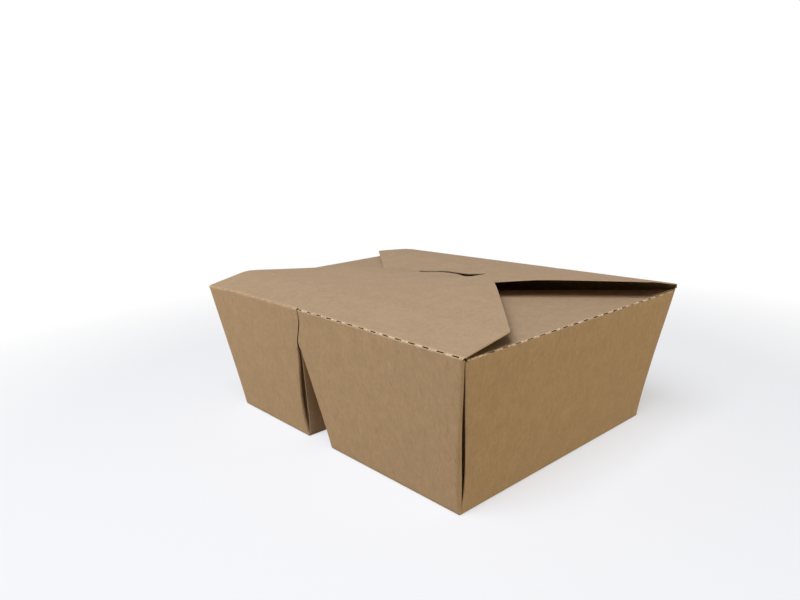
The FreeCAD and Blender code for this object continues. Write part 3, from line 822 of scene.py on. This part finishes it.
def crease_marks(sizes):
    """X places where the columns of the long walls and their flaps have to lie."""
    slit = sizes.slit_length / 2
    return sorted([-slit, slit] + [x for nick in side_nicks(sizes) for x in nick])


def in_nick(nicks, row, column):
    """Whether the cell after a column of a row of places lies in a cut."""
    middle = (row[column] + row[column + 1]) / 2
    return any(low < middle < high for low, high in nicks)


def slit_rise(x):
    """Middle of the back flap above the rim at the slit."""
    return through(SLIT_RISE, x / MM) * MM


def slit_dip(x, sizes):
    """How far both flaps are pressed down in front of the slit, most where its lips gape."""
    press = 0.5 * MM
    gape = 0.7 * MM
    gape_middle = 14 * MM
    gape_reach = 11 * MM
    flatness = 1.6
    fade = 2 * MM
    pressed = press + gape * min(1.0, flatness * hump(x, gape_middle, gape_reach))
    return pressed * eased((sizes.slit_length / 2 - abs(x)) / fade)


def front_crease_point(x, walls):
    """Y and Z of the front crease in the middle of the board."""
    z = HINGE.z + walls.rim_rise("front", x, walls.rim_start)
    return walls.depth(walls.side_lean) - walls.side_face(z), z


def front_path(x, walls, sizes):
    """The front flap's section from its crease over its bow to the tongue's tip."""
    y, z = HINGE.y, HINGE.z
    rim = -sizes.rim_width / 2
    share = x / sizes.rim_length + 0.5
    slit_y = rim + sizes.slit_reach
    slit_z = z + slit_rise(x) + sizes.board + LAP_GAP - slit_dip(x, sizes)
    swing = math.hypot(slit_y - y, slit_z - z)
    tip_z = slit_z - sizes.tongue_drop
    corners = [
        front_crease_point(x, walls),
        (rim + sizes.flap_side, z + sizes.flap_side_rise),
        (rim + sizes.bow_reach, z + mix(sizes.bow_left, sizes.bow_right, share)),
        (slit_y, slit_z),
        (y + math.sqrt(swing ** 2 - (tip_z - z) ** 2), tip_z),
    ]
    return arc_path(corners, [BOW_ROUND, BOW_ROUND, TONGUE_BEND], FOLD_STEPS)


def front_height(x, y, walls, sizes):
    """Height of the front flap at a place between its crease and the tongue's bend."""
    return height_at(front_path(x, walls, sizes)[:-FOLD_STEPS - 1], y)


def front_outline(sizes):
    """Half the front flap's width at places along Y, up to its shoulders."""
    corner_round = 2.5 * MM
    half = sizes.rim_length / 2
    rim = -sizes.rim_width / 2
    shoulder_y = rim + sizes.slit_reach - TONGUE_BEND - 2 * sizes.board
    corners = [(half, rim), (half, rim + sizes.flap_side), (sizes.shoulder_width / 2, shoulder_y)]
    outline = [(point.y, point.x) for point in arc_path(corners, [corner_round], CORNER_STEPS)]
    outline[0] = (rim + CREASE_REACH, half)
    return outline


def dense_outline(outline, spacing):
    """An outline as (y, half width) with more stations between, in the order given."""
    dense = []
    for before, after in zip(outline, outline[1:]):
        parts = max(1, math.ceil(abs(after[0] - before[0]) / spacing))
        for part in range(parts):
            share = part / parts
            dense.append((mix(before[0], after[0], share), mix(before[1], after[1], share)))
    dense.append(outline[-1])
    return dense


def front_flap(sizes):
    """The top flap with its locking tongue."""
    sheet = Sheet()
    walls = Walls(sizes)
    tongue = sizes.tongue_width / 2
    inner = filled([-tongue, tongue], TONGUE_CELL)
    outer_columns = 12
    outer = [step / outer_columns for step in range(1, outer_columns + 1)]
    rows = []
    for y, half in dense_outline(front_outline(sizes), FLAP_CELL):
        reach = half - tongue
        row = [-tongue - share * reach for share in outer[::-1]]
        row += inner + [tongue + share * reach for share in outer]
        rows.append([Vector((x, y, front_height(x, y, walls, sizes))) for x in row])
    sheet.grid(rows)
    add_tongue(sheet, rows[-1][outer_columns:-outer_columns], inner, walls, sizes)
    return sheet.build("front_flap_board", sizes)


def add_tongue(sheet, shoulder_row, inner, walls, sizes):
    """The tongue, from the flap's last row over its bend to the rounded tip."""
    tip_round = 6 * MM
    shares_left = (0.75, 0.5, 0.3, 0.17, 0.08, 0.02, 0.0)
    straight = sizes.tongue_drop - 1.3 * TONGUE_BEND
    rows = [shoulder_row]
    paths = [front_path(x, walls, sizes) for x in inner]
    bend_start = len(paths[0]) - FOLD_STEPS - 2
    for step in range(bend_start, bend_start + FOLD_STEPS + 1):
        rows.append([Vector((x, path[step].x, path[step].y)) for x, path in zip(inner, paths)])
    for left in shares_left:
        narrowing = 1 - rounded_off(left * straight, tip_round) / (sizes.tongue_width / 2)
        row = []
        for place in inner:
            x = place * narrowing
            path = front_path(x, walls, sizes)
            point = mix(path[-1], path[-2], left)
            row.append(Vector((x, point.x, point.y)))
        rows.append(row)
    sheet.grid(rows)


def rounded_off(to_tip, radius):
    """How much a rounded corner takes off each side at a distance from the tip."""
    inset = max(0.0, radius - to_tip)
    return radius - math.sqrt(radius ** 2 - inset ** 2)


def front_crease(sizes, compartments):
    """The perforated fold that joins the front flap to the front wall."""
    sheet = Sheet()
    nicks = side_nicks(sizes)
    walls = compartments[0].walls
    top = walls.rim_start
    depth = walls.depth(walls.side_lean)
    corner_inset = 0.35 * MM
    end_y = -sizes.rim_width / 2 + CREASE_REACH
    for compartment in compartments:
        corner_x = compartment.x_at("end", top, corner_inset)
        seam_x = compartment.x_at("fold", top, compartment.free_edge("fold", FRONT))
        places = [point.x for point in compartment.side_row(FRONT, top, depth)]
        places = sorted(places + [corner_x, seam_x])
        columns = []
        for x in places:
            top_x = compartment.side * sizes.rim_length / 2 if x == corner_x else x
            foot = compartment.side_point(FRONT, x, top, depth)
            corners = [
                (foot.y, foot.z),
                front_crease_point(top_x, walls),
                (end_y, front_height(top_x, end_y, walls, sizes)),
            ]
            path = arc_path(corners, [sizes.fold_radius], FOLD_STEPS)
            last = len(path) - 1
            columns.append([
                Vector((mix(x, top_x, index / last), point.x, point.y))
                for index, point in enumerate(path)
            ])
        rows = [list(row) for row in zip(*columns)]

        def cut(i, j):
            return i in nick_rows(places[j] > CRUSHED_TO) and in_nick(nicks, places, j)

        def wear(i, point):
            return crease_wear(i) * (1.0 if point.x > CRUSHED_TO else CRUSHED_WEAR)

        sheet.grid(rows, worn=wear, left_out=cut)
    return sheet.build("front_crease", sizes)


def nick_rows(is_open):
    """Rows of a crease that a cut takes out: four, or one where it has been pressed shut."""
    middle = FOLD_STEPS // 2
    return range(middle - 1, middle + 3) if is_open else range(middle, middle + 1)


def crease_wear(row):
    """Raised fibres on the rows of a perforated crease."""
    return 1.0 if 1 < row < FOLD_STEPS + 1 else 0.0


def slit_line(sizes):
    """Y of the locking slit, in the middle of the tongue."""
    return sizes.slit_reach - sizes.rim_width / 2


def back_path(x, walls, sizes):
    """The back flap's section from the back wall over its crease to its tip."""
    fold_left = 0.5 * MM
    fold_right = 1.2 * MM
    run = 4 * MM
    run_slope = 4.3 / 26
    tip_dip = 1 * MM
    z = sizes.tray_height - sizes.board / 2
    rim = sizes.rim_width / 2
    depth = walls.depth(walls.side_lean)
    share = x / sizes.rim_length + 0.5
    fold_z = z + mix(fold_left, fold_right, share)
    corners = [
        (walls.side_face(walls.rim_start) - depth, walls.rim_start),
        (walls.side_face(fold_z) - depth, fold_z),
        (rim - run, fold_z + run_slope * run),
        (rim - sizes.back_side, z + mix(sizes.back_rise_left, sizes.back_rise_right, share)),
        (slit_line(sizes), z + slit_rise(x)),
        (0.0, z + slit_rise(x) - tip_dip),
    ]
    bends = [sizes.fold_radius, TWIST_ROUND, BOW_ROUND, BOW_ROUND]
    return arc_path(corners, bends, FOLD_STEPS)


def back_columns(compartments):
    """X places of the columns of the back wall's rim, with the free edges above its webs."""
    places = set()
    for compartment in compartments:
        top = compartment.walls.rim_start
        places |= {point.x for point in compartment.side_row(BACK, top, 0.0)}
        for kind in ("end", "fold"):
            depths = compartment.free_depths(kind, BACK, top)
            places |= {compartment.x_at(kind, top, deep) for deep in depths}
    return sorted(places)


def back_outline(root, lips, sizes):
    """Half the back flap's width at places along Y, from its crease to its tip."""
    overhang = 0.5 * MM
    crease_inset = 1 * MM
    spread_by = 2 * MM
    side_end = 28 * MM
    bends = [0.1 * MM, 3.5 * MM, 2.5 * MM]
    half = sizes.rim_length / 2 + overhang
    rim = sizes.rim_width / 2
    corners = [
        (root, rim - crease_inset),
        (half, rim - spread_by),
        (half, rim - side_end),
        (sizes.back_tip_width / 2, 0.0),
        (0.0, 0.0),
    ]
    edges = [(point.y, point.x) for point in arc_path(corners, bends, CORNER_STEPS)[:-1]]
    edges += [(lip, height_at([Vector(edge) for edge in edges], lip)) for lip in lips]
    return dense_outline(sorted(edges, reverse=True), FLAP_CELL)


def back_flap_rows(compartments, sizes):
    """Rows of the back flap, from the back wall's rim to the flap's tip."""
    walls = compartments[0].walls
    inner = sizes.slit_length / 2
    root = walls.end_face(walls.rim_start) - Compartment.END_EDGE
    places = back_columns(compartments)
    paths = [back_path(x, walls, sizes) for x in places]
    fold_end = FOLD_STEPS + 1
    rows = []
    for index in range(fold_end + 1):
        rows.append([Vector((x, path[index].x, path[index].y)) for x, path in zip(places, paths)])
    lips = [
        slit_line(sizes) - sizes.board / 2 - SLIT_FRONT,
        slit_line(sizes) + sizes.board / 2 + SLIT_BACK,
    ]
    slit_row = None
    for y, width in back_outline(root, lips, sizes):
        if abs(y - lips[1]) < SAME_POINT:
            slit_row = len(rows)
        row = []
        for x in places:
            beyond = max(0.0, abs(x) - inner) / (root - inner)
            across = math.copysign(min(abs(x), inner) + beyond * (width - inner), x)
            height = height_at(back_path(across, walls, sizes)[fold_end:], y)
            row.append(Vector((across, y, height + lip_lift(across, y, lips, sizes))))
        rows.append(row)
    return rows, places, slit_row


def lip_lift(x, y, lips, sizes):
    """How the tongue pushes the slit's lips apart: the front one down, the back one up."""
    front_fade = 12 * MM
    back_fade = 10 * MM
    highest = 0.7 * MM
    if y <= lips[0] + SAME_POINT:
        return -slit_dip(x, sizes) * eased(1 - (lips[0] - y) / front_fade)
    raised = min(2 * slit_dip(x, sizes), highest)
    return raised * eased(1 - (y - lips[1]) / back_fade)


def tray_board(sizes, compartments):
    """The folded sheet without its front flap."""
    sheet = Sheet()
    for compartment in compartments:
        compartment.add_to(sheet)
    add_divider_top(sheet, compartments)
    rows, places, slit_row = back_flap_rows(compartments, sizes)
    nicks = side_nicks(sizes)
    inner = sizes.slit_length / 2

    def left_out(i, j):
        middle = (places[j] + places[j + 1]) / 2
        is_slit = i == slit_row and abs(middle) < inner
        return is_slit or (i in nick_rows(True) and in_nick(nicks, places, j))

    sheet.grid(rows, worn=lambda i, point: crease_wear(i), left_out=left_out)
    for compartment in compartments:
        add_end_flap(sheet, compartment, sizes)
    return sheet.build("tray_board", sizes)


def add_divider_top(sheet, compartments):
    """The fold along the top of the divider, from one compartment's wall to the other's."""
    walls = compartments[0].walls
    top = walls.sizes.tunnel_height
    depth = walls.depth(walls.fold_lean)
    rows = [compartment.wall_row("fold", top, depth) for compartment in compartments]
    edges = []
    for compartment, row in zip(compartments, rows):
        ends = []
        for across in (FRONT, BACK):
            corner = compartment.corners["fold", across]
            y = compartment.y_at(across, top, corner.edge(top) - compartment.SIDE_EDGE)
            ends.append(Vector((row[0].x, y, top)))
        edges.append([ends[0]] + row + [ends[1]])
    reach = abs(edges[1][0].x - edges[0][0].x) / 2
    arcs = []
    for step in range(FOLD_STEPS + 1):
        angle = math.pi * step / FOLD_STEPS
        arcs.append([
            Vector((
                mix(a.x, b.x, (1 - math.cos(angle)) / 2),
                mix(a.y, b.y, step / FOLD_STEPS),
                a.z + reach * math.sin(angle),
            ))
            for a, b in zip(*edges)
        ])
    sheet.grid(arcs)


def add_end_flap(sheet, compartment, sizes):
    """The flap folded in from an end wall, with its perforated crease."""
    walls = compartment.walls
    top = walls.rim_start
    z = sizes.tray_height - sizes.board / 2
    depth = walls.depth(walls.end_lean)
    root = end_flap_root(sizes)
    row = [point.y for point in compartment.wall_row("end", top, depth)]
    places = [y for y in row if abs(y) <= root + SAME_POINT]
    tip_x = sizes.rim_length / 2 - sizes.end_flap_length
    tip_round = 3 * MM
    even_rows = 24
    tip_shares = [0.97, 0.98, 0.988, 0.994, 0.998, 1.0]
    shares = sorted([step / even_rows for step in range(1, even_rows)] + tip_shares)
    columns = []
    for y in places:
        rise = walls.rim_rise(compartment.end_name, y, top)
        corners = [
            (walls.end_face(top + rise) - depth, top + rise),
            (walls.end_face(z + rise) - depth, z + rise),
            (tip_x, z - sizes.end_flap_droop),
        ]
        path = arc_path(corners, [sizes.fold_radius], FOLD_STEPS)
        column = [Vector((compartment.side * point.x, y, point.y)) for point in path[:-1]]
        for share in shares:
            point = mix(path[-2], path[-1], share)
            taken = rounded_off((1 - share) * sizes.end_flap_length, tip_round)
            width = (root - sizes.end_flap_taper * share - taken) / root
            column.append(Vector((compartment.side * point.x, y * width, point.y)))
        columns.append(column)
    rows = [list(row) for row in zip(*columns)]
    nicks = end_nicks(sizes)

    def cut(i, j):
        return i in nick_rows(True) and in_nick(nicks, places, j)

    sheet.grid(rows, worn=lambda i, point: crease_wear(i), left_out=cut)


class NodeTree:
    """Short ways to add and join the nodes of a material or a world."""

    def __init__(self, owner):
        owner.use_nodes = True
        self.tree = owner.node_tree
        self.tree.nodes.clear()

    def add(self, kind, **settings):
        """A new node with its settings, other than its sockets."""
        node = self.tree.nodes.new(kind)
        for name, value in settings.items():
            setattr(node, name, value)
        return node

    def join(self, source, target):
        """A link from one node's output to another's input."""
        self.tree.links.new(source, target)

    def noise(self, vector, size, detail=2.0, roughness=0.5):
        """Noise whose features are about the given size in metres."""
        node = self.add("ShaderNodeTexNoise")
        node.inputs["Scale"].default_value = 1 / size
        node.inputs["Detail"].default_value = detail
        node.inputs["Roughness"].default_value = roughness
        self.join(vector, node.inputs["Vector"])
        return node.outputs["Fac"]

    def ramp(self, value, low, high):
        """A share that rises from 0 at low to 1 at high."""
        node = self.add("ShaderNodeMapRange")
        node.inputs["From Min"].default_value = low
        node.inputs["From Max"].default_value = high
        self.join(value, node.inputs["Value"])
        return node.outputs["Result"]

    def maths(self, operation, first, second):
        """A sum, product or other result of two values, each a socket or a number."""
        node = self.add("ShaderNodeMath", operation=operation)
        for socket, value in zip(node.inputs, (first, second)):
            if isinstance(value, (int, float)):
                socket.default_value = value
            else:
                self.join(value, socket)
        return node.outputs["Value"]

    def weighted(self, parts):
        """The sum of several values, each times its weight."""
        products = [self.maths("MULTIPLY", value, weight) for value, weight in parts]
        total = products[0]
        for product in products[1:]:
            total = self.maths("ADD", total, product)
        return total

    def blend(self, share, first, second):
        """A mix of two colours, each a socket or three numbers."""
        node = self.add("ShaderNodeMix", data_type="RGBA")
        self.join(share, node.inputs["Factor"])
        for name, value in (("A", first), ("B", second)):
            socket = next(s for s in node.inputs if s.name == name and s.type == "RGBA")
            if isinstance(value, bpy.types.NodeSocket):
                self.join(value, socket)
            else:
                socket.default_value = (*value, 1.0)
        return next(s for s in node.outputs if s.type == "RGBA")


def mottled_tone(nodes, base, place, along, mottle):
    """A colour made paler and darker in clouds, mottles and streaks."""
    swing = 0.09
    cloud = nodes.noise(place, 7 * MM, 3.0)
    streak = nodes.noise(along, 1.3 * MM, 3.0, 0.7)
    grains = nodes.weighted(((cloud, 0.3), (mottle, 0.35), (streak, 0.35)))
    dark = tuple((1 - swing) * part for part in base)
    pale = tuple((1 + swing) * part for part in base)
    return nodes.blend(nodes.ramp(grains, 0.36, 0.64), dark, pale)


def fibred_tone(nodes, tone, finish, along, fibre):
    """The tone with dark fibres, flecks and pale fibres over it."""
    fleck = nodes.noise(along, 0.9 * MM, 1.0)
    layers = (
        (fibre, 0.52, 0.78, 0.34, finish.fleck),
        (fleck, 0.66, 0.74, 0.3, finish.fleck),
        (fibre, 0.42, 0.25, 0.3, finish.torn),
    )
    for value, from_value, full_value, strength, tint in layers:
        share = nodes.maths("MULTIPLY", nodes.ramp(value, from_value, full_value), strength)
        tone = nodes.blend(share, tone, tuple(tint))
    return tone


def torn_tone(nodes, tone, finish, place):
    """The tone with raised fibres where the board is worn."""
    wear = nodes.add("ShaderNodeAttribute", attribute_name="worn").outputs["Fac"]
    tufts = nodes.ramp(nodes.noise(place, 1.1 * MM, 2.0), 0.4, 0.62)
    raised = nodes.maths("MULTIPLY", nodes.maths("MULTIPLY", wear, tufts), 0.95)
    return nodes.blend(raised, tone, tuple(finish.torn))


def board_material(name, is_edge):
    """Uncoated kraft board: mottled, with long fibres, flecks and raised fibres at creases."""
    known = bpy.data.materials.get(name)
    if known:
        return known
    finish = bpy.context.scene.takeaway_box_finish
    material = bpy.data.materials.new(name)
    nodes = NodeTree(material)
    place = nodes.add("ShaderNodeTexCoord").outputs["Object"]
    stretch = nodes.add("ShaderNodeMapping")
    stretch.inputs["Scale"].default_value = (1.0, 1.0, 0.16)
    nodes.join(place, stretch.inputs["Vector"])
    along = stretch.outputs["Vector"]
    mottle = nodes.noise(place, 2.4 * MM, 3.0, 0.6)
    fibre = nodes.noise(along, 0.42 * MM, 3.0, 0.65)
    tone = mottled_tone(nodes, finish.edge if is_edge else finish.face, place, along, mottle)
    tone = fibred_tone(nodes, tone, finish, along, fibre)
    tone = torn_tone(nodes, tone, finish, place)
    grain = nodes.maths("ADD", nodes.maths("MULTIPLY", fibre, 0.7), mottle)
    relief = nodes.add("ShaderNodeBump")
    relief.inputs["Strength"].default_value = 0.5
    relief.inputs["Distance"].default_value = 0.06 * MM
    nodes.join(grain, relief.inputs["Height"])
    shader = nodes.add("ShaderNodeBsdfPrincipled")
    shader.inputs["Roughness"].default_value = 0.78
    shader.inputs["Specular IOR Level"].default_value = 0.3
    nodes.join(tone, shader.inputs["Base Color"])
    nodes.join(relief.outputs["Normal"], shader.inputs["Normal"])
    output = nodes.add("ShaderNodeOutputMaterial")
    nodes.join(shader.outputs["BSDF"], output.inputs["Surface"])
    return material


def both_compartments(sizes):
    """The left and the right half of the tray, on the same walls."""
    walls = Walls(sizes)
    return [Compartment(walls, LEFT, LEFT_MOUTHS), Compartment(walls, RIGHT, RIGHT_MOUTHS)]


class BOX_OT_add_tray(bpy.types.Operator):
    """Fold the tray with its divider, webs, end flaps and back flap"""

    bl_idname = "takeaway_box.add_tray"
    bl_label = "Add Tray"

    def execute(self, context):
        sizes = context.scene.takeaway_box_sizes
        tray = tray_board(sizes, both_compartments(sizes))
        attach(tray, "tray")
        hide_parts("tray")
        return {"FINISHED"}


class BOX_OT_add_front_flap(bpy.types.Operator):
    """Fold the front flap with its locking tongue"""

    bl_idname = "takeaway_box.add_front_flap"
    bl_label = "Add Front Flap"

    def execute(self, context):
        flap = front_flap(context.scene.takeaway_box_sizes)
        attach(flap, "front_flap")
        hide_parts("front_flap")
        return {"FINISHED"}


class BOX_OT_add_front_crease(bpy.types.Operator):
    """Fold the perforated crease between the front wall and the front flap"""

    bl_idname = "takeaway_box.add_front_crease"
    bl_label = "Add Front Crease"

    def execute(self, context):
        sizes = context.scene.takeaway_box_sizes
        crease = front_crease(sizes, both_compartments(sizes))
        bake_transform(crease)
        return {"FINISHED"}


def add_soft_light(name, place, size, power, tint):
    """A rectangular soft light that looks at the lit point."""
    light = bpy.data.lights.new(name, "AREA")
    light.shape = "RECTANGLE"
    light.size, light.size_y = size
    light.energy = power
    light.color = tint
    item = bpy.data.objects.new(name, light)
    item.location = place
    item.rotation_mode = "QUATERNION"
    item.rotation_quaternion = (Vector(LIT_POINT) - Vector(place)).to_track_quat("-Z", "Y")
    bpy.context.scene.collection.objects.link(item)


def joined_shaders(nodes, share, first, second):
    """Two shaders mixed by a share of the second."""
    joined = nodes.add("ShaderNodeMixShader")
    nodes.join(share, joined.inputs["Fac"])
    nodes.join(first, joined.inputs[1])
    nodes.join(second, joined.inputs[2])
    return joined.outputs["Shader"]


def seen_share(nodes):
    """1 for what the camera sees, also in a mirror or through glass, and 0 for light."""
    path = nodes.add("ShaderNodeLightPath")
    seen = nodes.maths("MAXIMUM", path.outputs["Is Camera Ray"], path.outputs["Is Glossy Ray"])
    return nodes.maths("MAXIMUM", seen, path.outputs["Is Transmission Ray"])


def floor_material(finish):
    """A pale matt floor that turns plain white away from the box."""
    material = bpy.data.materials.new("floor_pale")
    nodes = NodeTree(material)
    shader = nodes.add("ShaderNodeBsdfPrincipled")
    shader.inputs["Roughness"].default_value = 0.9
    shader.inputs["Specular IOR Level"].default_value = 0.1
    seen = seen_share(nodes)
    nodes.join(nodes.blend(seen, finish.bounce, finish.floor), shader.inputs["Base Color"])
    white = nodes.add("ShaderNodeEmission")
    place = nodes.add("ShaderNodeTexCoord").outputs["Object"]
    reach = nodes.add("ShaderNodeVectorMath", operation="LENGTH")
    nodes.join(place, reach.inputs["Vector"])
    far = nodes.ramp(reach.outputs["Value"], 0.0, WHITE_FROM)
    share = nodes.maths("MULTIPLY", nodes.maths("MAXIMUM", far, LEAST_WHITE), seen)
    surface = joined_shaders(nodes, share, shader.outputs["BSDF"], white.outputs["Emission"])
    output = nodes.add("ShaderNodeOutputMaterial")
    nodes.join(surface, output.inputs["Surface"])
    return material


class BOX_OT_add_stage(bpy.types.Operator):
    """Add the pale floor, the soft lights and the camera"""

    bl_idname = "takeaway_box.add_stage"
    bl_label = "Add Stage"

    def execute(self, context):
        self.add_floor(context.scene)
        self.add_world(context.scene)
        for light in LIGHTS:
            add_soft_light(*light)
        self.add_camera(context.scene)
        context.scene.view_settings.view_transform = "Standard"
        return {"FINISHED"}

    def add_floor(self, scene):
        """A large flat floor under the box."""
        mesh = bpy.data.meshes.new("floor")
        signs = ((-1, -1), (1, -1), (1, 1), (-1, 1))
        corners = [(x * FLOOR_REACH, y * FLOOR_REACH, 0) for x, y in signs]
        mesh.from_pydata(corners, [], [(0, 1, 2, 3)])
        mesh.materials.append(floor_material(scene.takeaway_box_finish))
        floor = bpy.data.objects.new("floor", mesh)
        scene.collection.objects.link(floor)

    def add_world(self, scene):
        """A faint even light, and plain white where the camera looks past the floor."""
        world = bpy.data.worlds.new("studio")
        scene.world = world
        nodes = NodeTree(world)
        lit = nodes.add("ShaderNodeBackground")
        lit.inputs["Strength"].default_value = EVEN_LIGHT
        lit.inputs["Color"].default_value = EVEN_TINT
        shown = nodes.add("ShaderNodeBackground")
        shown.inputs["Strength"].default_value = 1.0
        shown.inputs["Color"].default_value = WHITE
        sky = joined_shaders(
            nodes, seen_share(nodes), lit.outputs["Background"], shown.outputs["Background"]
        )
        output = nodes.add("ShaderNodeOutputWorld")
        nodes.join(sky, output.inputs["Surface"])

    def add_camera(self, scene):
        """The camera at the photo's angle."""
        camera = bpy.data.cameras.new("camera")
        camera.sensor_width = 36.0
        camera.lens = LENS
        camera.clip_start = 0.01
        camera.clip_end = 20.0
        item = bpy.data.objects.new("camera", camera)
        back = CAMERA_RIGHT.cross(CAMERA_UP)
        turned = Matrix((CAMERA_RIGHT, CAMERA_UP, back)).transposed()
        item.matrix_world = Matrix.Translation(CAMERA_PLACE) @ turned.to_4x4()
        scene.collection.objects.link(item)
        scene.camera = item


class BOX_PT_takeaway_box(bpy.types.Panel):
    """Buttons, sizes and colours of the takeaway box"""

    bl_label = "Takeaway Box"
    bl_space_type = "VIEW_3D"
    bl_region_type = "UI"
    bl_category = "Takeaway Box"

    def draw(self, context):
        for operator in OPERATORS:
            self.layout.operator(operator.bl_idname)
        for settings in (context.scene.takeaway_box_sizes, context.scene.takeaway_box_finish):
            column = self.layout.column()
            for name in settings.__annotations__:
                column.prop(settings, name)


OPERATORS = (BOX_OT_add_tray, BOX_OT_add_front_flap, BOX_OT_add_front_crease, BOX_OT_add_stage)
CLASSES = (BoxSizes, BoardFinish, *OPERATORS, BOX_PT_takeaway_box)


def register():
    for item in CLASSES:
        bpy.utils.register_class(item)
    bpy.types.Scene.takeaway_box_sizes = PointerProperty(type=BoxSizes)
    bpy.types.Scene.takeaway_box_finish = PointerProperty(type=BoardFinish)


def unregister():
    del bpy.types.Scene.takeaway_box_finish
    del bpy.types.Scene.takeaway_box_sizes
    for item in reversed(CLASSES):
        bpy.utils.unregister_class(item)


def main():
    register()
    bpy.ops.takeaway_box.add_tray()
    bpy.ops.takeaway_box.add_front_flap()
    bpy.ops.takeaway_box.add_front_crease()
    bpy.ops.takeaway_box.add_stage()


if __name__ == "__main__":
    main()
